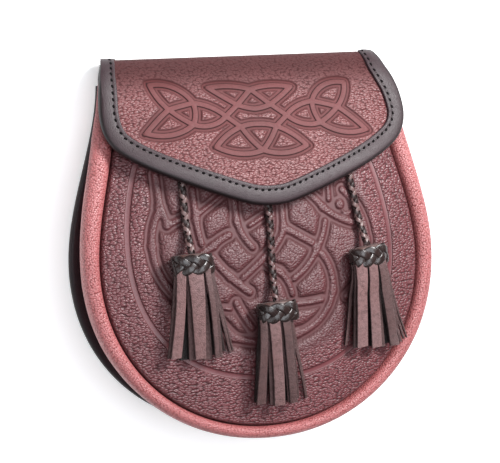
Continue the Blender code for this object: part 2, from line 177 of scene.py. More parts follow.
#            name      cord_x0 cord_y0 knot_x  knot_y  foot_x  foot_y foot_half
TASSELS = [("left", -45.4, 49.0, -44.0, -1.6, -41.8, -49.0, 16.0),
           ("centre", 0.6, 38.0, 0.0, -27.8, 3.6, -76.4, 15.0),
           ("right", 47.6, 48.0, 53.6, -3.2, 59.2, -50.6, 18.2)]
# Strips of each tassel. Edges are measured across the tassel from its middle,
# at the knot and at the foot. Layer 2 lies on top. tone is painted shade: 1 is
# the palest, and a lower tone paints a strip darker, down to near black for
# the strips that lie in the shade of those above.
#           layer top_from top_to foot_from foot_to end tone
STRIPS = {
    "left": [(0, -8.8, -3.8, -9.6, -4.4, 43.4, 0.00),
             (0, -3.4, 1.2, -3.4, 1.4, 42.6, 0.00),
             (0, 1.6, 6.2, 4.4, 9.4, 42.6, 0.10),
             (0, 7.4, 9.4, 13.2, 15.0, 41.6, 0.15),
             (0, 8.4, 10.4, 16.8, 18.2, 42.2, 0.45),
             (0, 9.2, 11.0, 18.7, 19.6, 41.8, 0.35),
             (1, -10.6, -6.2, -16.9, -12.0, 41.4, 0.40),
             (1, -4.6, 0.4, -5.4, -0.2, 43.6, 0.60),
             (1, 0.6, 5.2, 2.0, 6.6, 44.2, 0.42),
             (1, 7.0, 10.8, 9.4, 12.3, 44.0, 0.38),
             (2, -9.6, -4.9, -16.0, -10.2, 41.4, 1.00),
             (2, -4.0, 4.3, -3.0, 2.6, 43.0, 0.95),
             (2, 5.2, 8.4, 7.3, 9.4, 43.6, 0.55)],
    "centre": [(0, -9.8, -5.0, -12.4, -7.6, 42.0, 0.00),
               (0, -4.4, 0.4, -4.0, 0.8, 43.0, 0.00),
               (0, 1.0, 5.4, 1.4, 6.0, 42.6, 0.00),
               (0, 6.0, 8.4, 14.4, 15.8, 43.2, 0.45),
               (0, -11.0, -8.8, -14.8, -12.0, 41.0, 0.10),
               (1, -7.9, -3.4, -6.8, -2.2, 43.2, 0.60),
               (1, -0.8, 2.6, 3.2, 6.4, 43.4, 0.60),
               (1, 4.4, 6.8, 8.7, 10.0, 42.2, 0.30),
               (2, -11.3, -7.8, -15.4, -9.8, 41.6, 0.42),
               (2, -6.9, -1.0, -5.3, 0.7, 43.6, 0.85),
               (2, 0.3, 4.8, 3.7, 7.9, 43.6, 0.42)],
    "right": [(0, -8.8, -4.0, -11.0, -6.4, 40.6, 0.00),
              (0, -3.2, 1.6, -3.2, 1.6, 42.6, 0.00),
              (0, 2.4, 6.8, 6.0, 10.6, 43.0, 0.10),
              (0, -11.4, -9.0, -19.1, -17.3, 39.6, 0.45),
              (0, 7.6, 9.6, 17.2, 18.4, 42.4, 0.40),
              (0, 8.4, 10.2, 19.1, 19.9, 42.0, 0.35),
              (1, -11.2, -7.4, -14.7, -11.0, 41.2, 0.32),
              (1, 0.6, 3.6, 2.8, 5.3, 44.0, 0.38),
              (1, 6.4, 9.0, 13.7, 15.2, 43.0, 0.35),
              (2, -10.8, -4.9, -13.2, -6.4, 41.2, 1.00),
              (2, -4.1, 1.4, -4.1, 2.4, 43.0, 0.90),
              (2, 2.0, 7.6, 7.4, 12.4, 43.8, 0.45)],
}
#              top of the layer above the panel, at the knot and at the foot
STRIP_LAYERS = [(4.8, 2.0),
                (8.2, 4.4),
                (11.2, 6.8)]

# ---- knotwork on the flap ------------------------------------------------------
# Points of the right half, u across from the middle and v up from the flap's
# point along the leather. The left half is its mirror image.
KNOT_MIDDLE_X, KNOT_TILT = -0.9, 0.025
KNOT_POINTS = {"top": (0.0, 62.7), "slot_top": (0.0, 51.6), "slot_foot": (0.0, 43.1),
               "foot": (0.0, 28.5), "upper_cross": (9.2, 53.9), "lower_cross": (9.8, 41.6),
               "upper_tip": (22.9, 63.9), "lower_tip": (25.1, 30.7), "link": (16.9, 47.6),
               "lobe_a": (33.2, 55.3), "lobe_b": (47.0, 51.8), "lobe_c": (35.4, 43.2),
               "high_tip": (54.2, 65.9), "side_tip": (61.2, 38.6)}
#              from           to           bow (to the left of the way there)
KNOT_BANDS = [("top", "upper_tip", 1.5),
              ("upper_tip", "upper_cross", 0.3),
              ("upper_cross", "slot_top", 0.4),
              ("upper_cross", "top", 0.0),
              ("link", "upper_cross", 0.0),
              ("link", "lower_cross", 0.0),
              ("lower_cross", "slot_foot", -0.5),
              ("lower_cross", "foot", 0.7),
              ("lower_cross", "lower_tip", 1.2),
              ("lower_tip", "foot", 2.8),
              ("link", "lobe_a", 1.6),
              ("lobe_a", "lobe_b", 0.2),
              ("lobe_b", "side_tip", 0.5),
              ("side_tip", "lobe_c", 3.3),
              ("lobe_c", "link", 2.7),
              ("lobe_c", "lobe_a", 1.2),
              ("lobe_a", "high_tip", 4.2),
              ("high_tip", "lobe_b", 1.3),
              ("lobe_b", "lobe_c", 0.5)]
#               tip          along u  along v   of the point drawn out of it
KNOT_POINTS_OUT = [("upper_tip", 1.7, 0.4),
                   ("lower_tip", 1.9, -0.2),
                   ("high_tip", 1.2, 1.0),
                   ("side_tip", 2.0, -0.7)]
KNOT_HALF, KNOT_CHANNEL = 1.45, 1.85

# ---- knotwork roundel on the front panel ---------------------------------------
# Each row is one raised stretch of a band, which ends where it dives under
# another. bow is to the left of the way from the first point to the second.
#            x0     y0     x1     y1    bow   half_width
ROUNDEL = [(9.3, 36.0, 8.6, 15.0, -0.2, 1.7),
           (8.6, 15.0, 2.0, 4.6, 1.0, 1.7),
           (2.0, 4.6, -15.3, -9.8, 0.3, 1.7),
           (-17.3, 36.0, -17.2, 19.0, 0.0, 1.7),
           (-17.2, 19.0, -9.3, 5.2, -1.2, 1.7),
           (-1.8, -4.2, 5.2, -8.3, 0.0, 1.6),
           (5.2, -8.3, 11.6, -20.0, 1.0, 1.6),
           (-39.4, 36.0, -38.9, 21.0, 0.0, 1.7),
           (-38.9, 21.0, -36.9, 8.6, -0.3, 1.7),
           (-46.0, -3.0, -30.5, 7.2, 0.5, 1.8),
           (-30.5, 7.2, -21.9, 12.3, 0.4, 1.8),
           (-31.5, 1.0, -22.5, -9.2, -0.4, 1.9),
           (-22.5, -9.2, -12.2, -17.6, -0.3, 1.9),
           (-19.8, -22.6, -11.5, -36.0, -0.5, 1.8),
           (11.7, 12.9, 24.1, 5.9, 0.0, 1.9),
           (30.0, -0.8, 35.3, -20.0, 2.0, 1.8),
           (35.3, -20.0, 14.0, -41.0, 4.4, 1.8),
           (14.0, -41.0, -22.0, -40.5, 3.0, 1.8),
           (-22.0, -40.5, -52.0, -16.6, -2.6, 1.8),
           (-52.0, -16.6, -62.6, 8.0, 2.7, 1.8),
           (-62.6, 8.0, -57.8, 25.6, 1.3, 1.8),
           (14.0, -25.3, 28.4, -24.2, -0.3, 1.4),
           (32.7, 16.2, 26.6, 2.0, 0.9, 1.7),
           (26.6, 2.0, 13.1, -11.9, 1.3, 1.7),
           (36.4, 38.0, 36.1, 27.4, 0.0, 1.5),
           (22.0, 33.4, 32.0, 23.7, 0.3, 1.8),
           (32.0, 23.7, 49.0, 14.6, -1.1, 1.8),
           (44.5, 31.8, 57.4, 5.0, 3.35, 1.8),
           (57.4, 5.0, 43.2, -23.4, 3.7, 1.8),
           (-57.6, 44.0, -57.2, 28.0, 0.0, 1.9),
           (-57.2, 28.0, -54.2, 18.3, 0.5, 1.7),
           (-54.2, 18.3, -44.5, 22.4, 0.0, 1.5),
           (-36.6, 24.0, -22.0, 34.0, 0.0, 1.1),
           (-10.4, 16.4, -2.4, 20.6, 0.0, 1.2),
           (-26.8, -25.0, -23.0, -25.7, 0.0, 1.0),
           (42.3, 24.4, 42.5, 24.5, 0.0, 2.5),
           (44.0, 20.4, 46.8, 19.4, -0.5, 0.7),
           (46.8, 19.4, 49.0, 21.0, -0.4, 0.7)]
ROUNDEL_CHANNEL = 1.70
#          x      y    middle of the smooth channel that follows the seam
BORDER = [(-58.9, 66.0),
          (-65.4, 54.0),
          (-70.4, 40.0),
          (-74.1, 22.0),
          (-75.0, 4.0),
          (-72.5, -14.0),
          (-66.3, -29.6),
          (-56.0, -43.4),
          (-41.2, -54.0),
          (-23.0, -60.2),
          (-2.0, -62.8),
          (19.0, -61.5),
          (38.0, -55.0),
          (53.5, -43.8),
          (64.6, -28.5),
          (70.6, -11.0),
          (71.6, 5.0),
          (69.6, 22.0),
          (65.2, 40.0),
          (59.8, 54.0),
          (54.0, 66.0)]
BORDER_HALF = 1.45

# ---- hidden closure and belt loops ---------------------------------------------
LOOP_X, LOOP_Y0, LOOP_Y1, LOOP_W, LOOP_T = 34.0, 8.0, 72.0, 22.0, 1.15
STITCH_PITCH = 3.65


# =============================== camera ===========================================
def make_camera():
    """The photograph's view: 22 degrees to the side and 8 above the middle."""
    phi, th, roll = (math.radians(v) for v in (22.0, 8.0, 0.4))
    back = Vector((-math.sin(phi) * math.cos(th), math.sin(th), math.cos(phi) * math.cos(th)))
    right = Vector((math.cos(phi), 0.0, math.sin(phi)))
    up = Vector((math.sin(phi) * math.sin(th), math.cos(th), -math.cos(phi) * math.sin(th)))
    side = right * math.cos(roll) - up * math.sin(roll)
    top = right * math.sin(roll) + up * math.cos(roll)
    where = back * 1.5 + Vector((0.0, SHIFT_Y * MM, 0.0))
    data = bpy.data.cameras.new("camera")
    cam = bpy.data.objects.new("camera", data)
    bpy.context.scene.collection.objects.link(cam)
    cam.matrix_world = Matrix(((side.x, top.x, back.x, where.x),
                               (side.y, top.y, back.y, where.y),
                               (side.z, top.z, back.z, where.z),
                               (0.0, 0.0, 0.0, 1.0)))
    data.sensor_fit, data.sensor_width = "HORIZONTAL", 36.0
    data.lens = 36.0 * 1.5 / (500 / 1.88 / 1000)
    data.shift_x, data.shift_y = 0.0264, 0.0278
    data.clip_start, data.clip_end = 0.05, 20.0
    bpy.context.scene.camera = cam


# =============================== shape rules ======================================
def half_width(y):
    t = (y - WIDEST_Y) / 100.0
    if t > 0:
        return SEAM_HALF_WIDTH * (1 - NARROW_2 * t * t + NARROW_3 * t ** 3)
    s = min(1.0, (WIDEST_Y - y) / SEAM_DROP)
    return SEAM_HALF_WIDTH * (1 - s ** ROUND_POWER) ** (1 / ROUND_POWER)


def half_widths(y):
    t = (y - WIDEST_Y) / 100.0
    up = SEAM_HALF_WIDTH * (1 - NARROW_2 * t * t + NARROW_3 * t ** 3)
    s = np.clip((WIDEST_Y - y) / SEAM_DROP, 0, 1)
    return np.where(t > 0, up, SEAM_HALF_WIDTH * (1 - s ** ROUND_POWER) ** (1 / ROUND_POWER))


def rim_z(y):
    return RIM_DEPTH - RIM_SLOPE * y - np.where(np.asarray(y) > 0, RIM_CURVE * np.square(y), 0.0)


def seam_path(count, top, even=1.5):
    """Even points down the left side, round the bottom and up the right."""
    side = [(-half_width(y), y) for y in np.linspace(top, WIDEST_Y, 400)]
    bow = []
    for a in np.linspace(0, math.pi / 2, 400)[1:]:
        bow.append((-SEAM_HALF_WIDTH * abs(math.cos(a)) ** (2 / ROUND_POWER),
                    WIDEST_Y - SEAM_DROP * math.sin(a) ** (2 / ROUND_POWER)))
    half = np.array(side + bow)
    half[-1, 0] = 0.0
    full = np.vstack([half, half[-2::-1] * (-1, 1)])
    run = np.concatenate([[0], np.cumsum(np.hypot(*np.diff(full, axis=0).T))])
    at = np.linspace(0, run[-1], count)
    pts = np.stack([np.interp(at, run, full[:, k]) for k in (0, 1)], 1)
    ahead = np.stack([np.interp(at + even, run, full[:, k]) for k in (0, 1)], 1)
    behind = np.stack([np.interp(at - even, run, full[:, k]) for k in (0, 1)], 1)
    tan = ahead - behind
    tan /= np.hypot(*tan.T)[:, None]
    return pts, np.stack([tan[:, 1], -tan[:, 0]], 1)


def share_of_panel(x, y):
    """0 at the panel's middle, 1 on its edge, along the line through (x, y)."""
    x, y = np.asarray(x, float), np.asarray(y, float)
    lo, hi = np.zeros(x.shape), np.full(x.shape, 4.0)
    for _ in range(26):
        mid = np.maximum((lo + hi) / 2, 1e-6)
        px, py = x / mid, y / mid
        inside = (py > WIDEST_Y - SEAM_DROP) & (py < MOUTH_Y) & (np.abs(px) < half_widths(py))
        hi, lo = np.where(inside, mid, hi), np.where(inside, lo, mid)
    return (lo + hi) / 2


def panel_z(x, y):
    """Top of the front panel without its turned edge and its relief."""
    return rim_z(y) + DOME * (1 - np.minimum(1.0, share_of_panel(x, y)) ** DOME_POWER)


def support_z(x, y):
    """What a tassel rests on: the panel, or the roll of the gusset beside it."""
    r, z = share_of_panel(x, y), panel_z(x, y)
    return np.where(r < 0.93, z, np.maximum(z, rim_z(y) + 2.55))


def smooth_rows(rows, per_step):
    """Catmull-Rom curve through the rows of a table."""
    r = np.array(rows, float)
    ext = np.vstack([2 * r[0] - r[1], r, 2 * r[-1] - r[-2]])
    out = []
    for i in range(1, len(ext) - 2):
        p0, p1, p2, p3 = ext[i - 1:i + 3]
        for t in np.arange(per_step) / per_step:
            out.append(0.5 * (2 * p1 + (p2 - p0) * t + (2 * p0 - 5 * p1 + 4 * p2 - p3) * t * t
                              + (3 * p1 - p0 - 3 * p2 + p3) * t ** 3))
    out.append(r[-1])
    return np.array(out)


def bulge(x, y):
    rows = sorted(BULGE_ROWS)
    ys = [r[0] for r in rows]
    return np.interp(y, ys, [r[1 if x < 0 else 2] for r in rows]), np.interp(y, ys, [r[3] for r in rows])


def even_points(line, step, closed=False):
    """Points a given step apart along a polyline of any dimension."""
    line = np.asarray(line, float)
    if closed:
        line = np.vstack([line, line[:1]])
    run = np.concatenate([[0], np.cumsum(np.linalg.norm(np.diff(line, axis=0), axis=1))])
    n = max(2, int(round(run[-1] / step)) + 1)
    at = np.linspace(0, run[-1], n)
    pts = np.stack([np.interp(at, run, line[:, k]) for k in range(line.shape[1])], 1)
    return pts[:-1] if closed else pts


def arc(x0, y0, x1, y1, bow, step=0.8):
    """Circular arc between two points that bows to the left of the way."""
    a, b = np.array((x0, y0), float), np.array((x1, y1), float)
    chord = max(float(np.hypot(*(b - a))), 1e-6)
    t = np.linspace(0, 1, max(2, int(math.ceil(chord / step))) + 1)
    if abs(bow) < 0.02:
        return a + (b - a) * t[:, None]
    r = (chord * chord / 4 + bow * bow) / (2 * abs(bow))
    half = math.asin(min(1.0, chord / 2 / r))
    ang = (2 * t - 1) * half
    left = np.array((-(b - a)[1], (b - a)[0])) / chord
    return (a + b) / 2 + (b - a) / chord * (r * np.sin(ang))[:, None] \
        + left * (math.copysign(1, bow) * r * (np.cos(ang) - math.cos(half)))[:, None]


# =============================== mesh helpers ======================================
def place(points):
    """Millimetres in the part's directions to metres in the row frame."""
    p = np.array(points, float).reshape(-1, 3)
    p[:, 1] += SHIFT_Y
    return p * MM


def piece(name, verts, faces, material, replaces=(), smooth=35, values=None):
    """A mesh object that rides on the pouch. values are named numbers a vertex."""
    mesh = bpy.data.meshes.new(name)
    mesh.from_pydata([tuple(v) for v in place(verts)], [], [tuple(int(i) for i in f) for f in faces])
    mesh.validate()
    bm = bmesh.new()
    bm.from_mesh(mesh)
    bmesh.ops.recalc_face_normals(bm, faces=bm.faces)
    bm.to_mesh(mesh)
    bm.free()
    for key, numbers in (values or {}).items():
        layer = mesh.attributes.new(key, "FLOAT", "POINT")
        layer.data.foreach_set("value", np.asarray(numbers, np.float32))
    obj = bpy.data.objects.new(name, mesh)
    bpy.context.scene.collection.objects.link(obj)
    mesh.materials.append(material)
    mesh.shade_smooth()
    if smooth:
        mesh.set_sharp_from_angle(angle=math.radians(smooth))
    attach(obj, "root")
    if replaces:
        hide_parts(*replaces)
    return obj


def outward(verts, faces):
    """Faces of a closed mesh, turned so that they look out of it."""
    v = np.asarray(verts, float)
    total = 0.0
    for f in faces:
        for k in range(1, len(f) - 1):
            total += np.dot(v[f[0]], np.cross(v[f[k]], v[f[k + 1]]))
    return faces if total > 0 else [tuple(f)[::-1] for f in faces]


def tube(rings, closed=False, first=0):
    """Faces between equal closed rings, with capped ends unless closed."""
    n, m = len(rings[0]), len(rings)
    faces = []
    for i in range(m if closed else m - 1):
        k = (i + 1) % m
        for j in range(n):
            faces.append((first + i * n + j, first + k * n + j,
                          first + k * n + (j + 1) % n, first + i * n + (j + 1) % n))
    if not closed:
        faces.append(tuple(first + j for j in range(n)))
        faces.append(tuple(first + (m - 1) * n + j for j in range(n))[::-1])
    return faces


def laid_out(rings):
    """Across and along numbers, in millimetres, of a swept piece's vertices."""
    rings = np.array(rings, float)
    middle = rings.mean(1)
    run = np.concatenate([[0], np.cumsum(np.linalg.norm(np.diff(middle, axis=0), axis=1))])
    step = np.linalg.norm(np.diff(rings, axis=1), axis=2)
    turn = np.concatenate([[0], np.cumsum(np.median(step, axis=0))])
    along, across = np.meshgrid(turn, run)
    return {"across": across.ravel(), "along": along.ravel()}


def bodies(parts):
    """One mesh from several closed ones: (rings, closed, values) each."""
    verts, faces, values = [], [], {}
    for rings, closed, extra in parts:
        own = [tuple(p) for ring in rings for p in ring]
        f = outward(own, tube(rings, closed))
        faces += [tuple(len(verts) + i for i in q) for q in f]
        for key, number in extra.items():
            values.setdefault(key, []).extend(np.broadcast_to(number, (len(own),)).tolist())
        verts += own
    return verts, faces, values


def inside(points, loop):
    """Which of the points are inside a closed polygon."""
    p, q = np.asarray(points, float), np.asarray(loop, float)
    hit = np.zeros(len(p), bool)
    for a, b in zip(q, np.roll(q, -1, axis=0)):
        if a[1] == b[1]:
            continue
        cross = (a[1] > p[:, 1]) != (b[1] > p[:, 1])
        x = (b[0] - a[0]) * (p[:, 1] - a[1]) / (b[1] - a[1]) + a[0]
        hit ^= cross & (p[:, 0] < x)
    return hit


def thin_out(points, least):
    """Drops points that are nearer than least to one kept before them."""
    cell, kept, grid = least, [], {}
    for p in points:
        key = (int(math.floor(p[0] / cell)), int(math.floor(p[1] / cell)))
        near = False
        for i in (-1, 0, 1):
            for j in (-1, 0, 1):
                for q in grid.get((key[0] + i, key[1] + j), ()):
                    if (p[0] - q[0]) ** 2 + (p[1] - q[1]) ** 2 < least * least:
                        near = True
        if not near:
            grid.setdefault(key, []).append(p)
            kept.append(p)
    return np.array(kept)


def fill_sheet(loop, fine, step, margin=0.5):
    """Triangles over a polygon: its own corners first, then the fine points
    and an even spread of others between them."""
    loop = np.asarray(loop, float)
    low, high = loop.min(0), loop.max(0)
    rows = np.arange(low[1], high[1] + step, step * 0.866)
    grid = []
    for k, y in enumerate(rows):
        xs = np.arange(low[0] + (step / 2 if k % 2 else 0), high[0] + step, step)
        grid.append(np.stack([xs, np.full(len(xs), y)], 1))
    grid = np.vstack(grid)
    grid = grid[inside(grid, loop)]
    edge = KDTree(len(loop))
    for i, p in enumerate(loop):
        edge.insert((p[0], p[1], 0), i)
    edge.balance()
    if len(fine):
        fine = np.asarray(fine)[inside(fine, loop)]
        fine = np.array([p for p in fine if edge.find((p[0], p[1], 0))[2] > margin])
    solid = np.vstack([loop, fine]) if len(fine) else loop
    tree = KDTree(len(solid))
    for i, p in enumerate(solid):
        tree.insert((p[0], p[1], 0), i)
    tree.balance()
    grid = np.array([p for p in grid if tree.find((p[0], p[1], 0))[2] > 0.62 * step])
    pts = np.vstack([solid, grid]) if len(grid) else solid
    n = len(loop)
    out = delaunay_2d_cdt([Vector(p) for p in pts], [(i, (i + 1) % n) for i in range(n)], [], 0, 1e-6)
    made = np.array([tuple(v) for v in out[0]])
    first = {}
    for new, olds in enumerate(out[3]):
        for old in olds:
            first.setdefault(old, new)
    tris = np.array(out[2])
    mids = made[tris].mean(axis=1)
    tris = tris[inside(mids, loop)]
    return made, tris, [first[i] for i in range(n)]


def nearest_band(points, bands, soft=0.0):
    """Distance from the nearest band's edge: below 0 on a band.

    With soft, in millimetres, the corners between two bands are rounded.
    """
    best = np.full(len(points), 99.0)
    total = np.zeros(len(points))
    for line, w0, w1 in bands:
        pad = 7.0
        low, high = line.min(0) - pad, line.max(0) + pad
        near = np.nonzero(np.all((points > low) & (points < high), axis=1))[0]
        if not len(near):
            continue
        p = points[near]
        run = np.concatenate([[0], np.cumsum(np.hypot(*np.diff(line, axis=0).T))])
        value = np.full(len(near), 99.0)
        for k in range(len(line) - 1):
            a, d = line[k], line[k + 1] - line[k]
            size = max(float(d @ d), 1e-9)
            t = np.clip(((p - a) @ d) / size, 0, 1)
            dist = np.hypot(*(p - a - t[:, None] * d).T)
            along = (run[k] + t * math.sqrt(size)) / max(run[-1], 1e-6)
            value = np.minimum(value, dist - (w0 + (w1 - w0) * along))
        best[near] = np.minimum(best[near], value)
        if soft:
            total[near] += np.exp(-value / soft)
    if soft:
        best = np.where(best < 98, -soft * np.log(np.maximum(total, 1e-30)), best)
    return best


def contours(bands, levels, step):
    """Points beside each band at set distances from its edge."""
    out = []
    for line, w0, w1 in bands:
        n = max(2, int(np.hypot(*np.diff(line, axis=0).T).sum() / step) + 1)
        run = np.concatenate([[0], np.cumsum(np.hypot(*np.diff(line, axis=0).T))])
        at = np.linspace(0, run[-1], n)
        p = np.stack([np.interp(at, run, line[:, k]) for k in (0, 1)], 1)
        t = np.gradient(p, axis=0)
        t /= np.maximum(np.hypot(*t.T), 1e-9)[:, None]
        side = np.stack([-t[:, 1], t[:, 0]], 1)
        w = w0 + (w1 - w0) * at / max(run[-1], 1e-6)
        for level in levels:
            r = w + level
            for sign in (-1, 1):
                q = p + side * (sign * r)[:, None]
                out.append(np.column_stack([q, np.full(len(q), level)]))
            for end, way in ((0, -1), (-1, 1)):
                rr = w[end] + level
                if rr <= 0.05:
                    continue
                base = math.atan2(t[end][1] * way, t[end][0] * way)
                angles = base + np.linspace(-1.5, 1.5, max(3, int(3.0 * rr / step)))
                q = p[end] + rr * np.stack([np.cos(angles), np.sin(angles)], 1)
                out.append(np.column_stack([q, np.full(len(q), level)]))
    out = np.vstack(out)
    real = nearest_band(out[:, :2], bands)
    return out[np.abs(real - out[:, 2]) < 0.07][:, :2]


def ramp(x, x0, x1, y0, y1):
    """Smooth step from y0 at x0 to y1 at x1."""
    t = np.clip((np.asarray(x, float) - x0) / (x1 - x0), 0, 1)
    return y0 + (y1 - y0) * t * t * (3 - 2 * t)


# =============================== materials =========================================
class Graph:
    """Short hand for a node tree."""

    def __init__(self, name):
        self.mat = bpy.data.materials.new(name)
        self.mat.use_nodes = True
        self.tree = self.mat.node_tree
        self.tree.nodes.clear()
        self.out = self.tree.nodes.new("ShaderNodeOutputMaterial")
        self.bsdf = self.tree.nodes.new("ShaderNodeBsdfPrincipled")
        self.tree.links.new(self.bsdf.outputs["BSDF"], self.out.inputs["Surface"])

    def link(self, value, socket):
        if hasattr(value, "node"):
            self.tree.links.new(value, socket)
        elif value is not None:
            socket.default_value = value

    def node(self, kind, inputs=None, out=0, **settings):
        n = self.tree.nodes.new(kind)
        for k, v in settings.items():
            setattr(n, k, v)
        for k, v in (inputs or {}).items():
            self.link(v, n.inputs[k])
        return n.outputs[out]

    def math(self, op, a, b=None, c=None, clamp=False):
        n = self.tree.nodes.new("ShaderNodeMath")
        n.operation, n.use_clamp = op, clamp
        for k, v in enumerate((a, b, c)):
            if v is not None:
                self.link(v, n.inputs[k])
        return n.outputs[0]

    def vector(self, op, a, b):
        n = self.tree.nodes.new("ShaderNodeVectorMath")
        n.operation = op
        self.link(a, n.inputs[0])
        self.link(b, n.inputs[1])
        return n.outputs[0]

    def span(self, value, low, high, to_low=0.0, to_high=1.0):
        n = self.tree.nodes.new("ShaderNodeMapRange")
        n.interpolation_type = "SMOOTHSTEP"
        self.link(value, n.inputs["Value"])
        for k, v in zip(("From Min", "From Max", "To Min", "To Max"), (low, high, to_low, to_high)):
            n.inputs[k].default_value = v
        return n.outputs["Result"]

    def mix(self, share, a, b, mode="MIX"):
        n = self.tree.nodes.new("ShaderNodeMix")
        n.data_type, n.blend_type = "RGBA", mode
        self.link(share, n.inputs["Factor"])
        self.link((*a, 1.0) if isinstance(a, tuple) and len(a) == 3 else a, n.inputs[6])
        self.link((*b, 1.0) if isinstance(b, tuple) and len(b) == 3 else b, n.inputs[7])
        return n.outputs[2]

    def millimetres(self, stretch=(1.0, 1.0, 1.0)):
        coord = self.node("ShaderNodeTexCoord", out=3)
        return self.vector("MULTIPLY", coord, tuple(1000.0 * s for s in stretch))

    def noise(self, where, scale, detail=2.0, rough=0.5, out=0):
        return self.node("ShaderNodeTexNoise", {"Vector": where, "Scale": scale, "Detail": detail,
                                                "Roughness": rough}, out=out)

    def pebbles(self, where, cell, regular):
        """Distance from the crease, dome height and a tone of each pebble."""
        where = self.vector("MULTIPLY", where, (cell[0], cell[1], 0.0))
        edge = self.node("ShaderNodeTexVoronoi", {"Vector": where, "Scale": 1.0, "Randomness": regular},
                         voronoi_dimensions="2D", feature="DISTANCE_TO_EDGE")
        core = self.tree.nodes.new("ShaderNodeTexVoronoi")
        core.voronoi_dimensions = "2D"
        self.link(where, core.inputs["Vector"])
        core.inputs["Scale"].default_value, core.inputs["Randomness"].default_value = 1.0, regular
        tone = self.node("ShaderNodeSeparateColor", {"Color": core.outputs["Color"]})
        far = core.outputs["Distance"]
        dome = self.math("SUBTRACT", 1.0, self.math("MULTIPLY", self.math("MULTIPLY", far, far), 2.0))
        return edge, dome, tone

    def blend(self, share, a, b):
        """Number between a and b."""
        return self.math("ADD", a, self.math("MULTIPLY", share, self.math("SUBTRACT", b, a)))

    def number(self, name):
        return self.node("ShaderNodeAttribute", out=2, attribute_name=name)


def srgb(r, g, b):
    """Linear colour from the 0 to 255 numbers of a screen."""
    def lin(c):
        c /= 255.0
        return c / 12.92 if c <= 0.04045 else ((c + 0.055) / 1.055) ** 2.4
    return (lin(r), lin(g), lin(b))


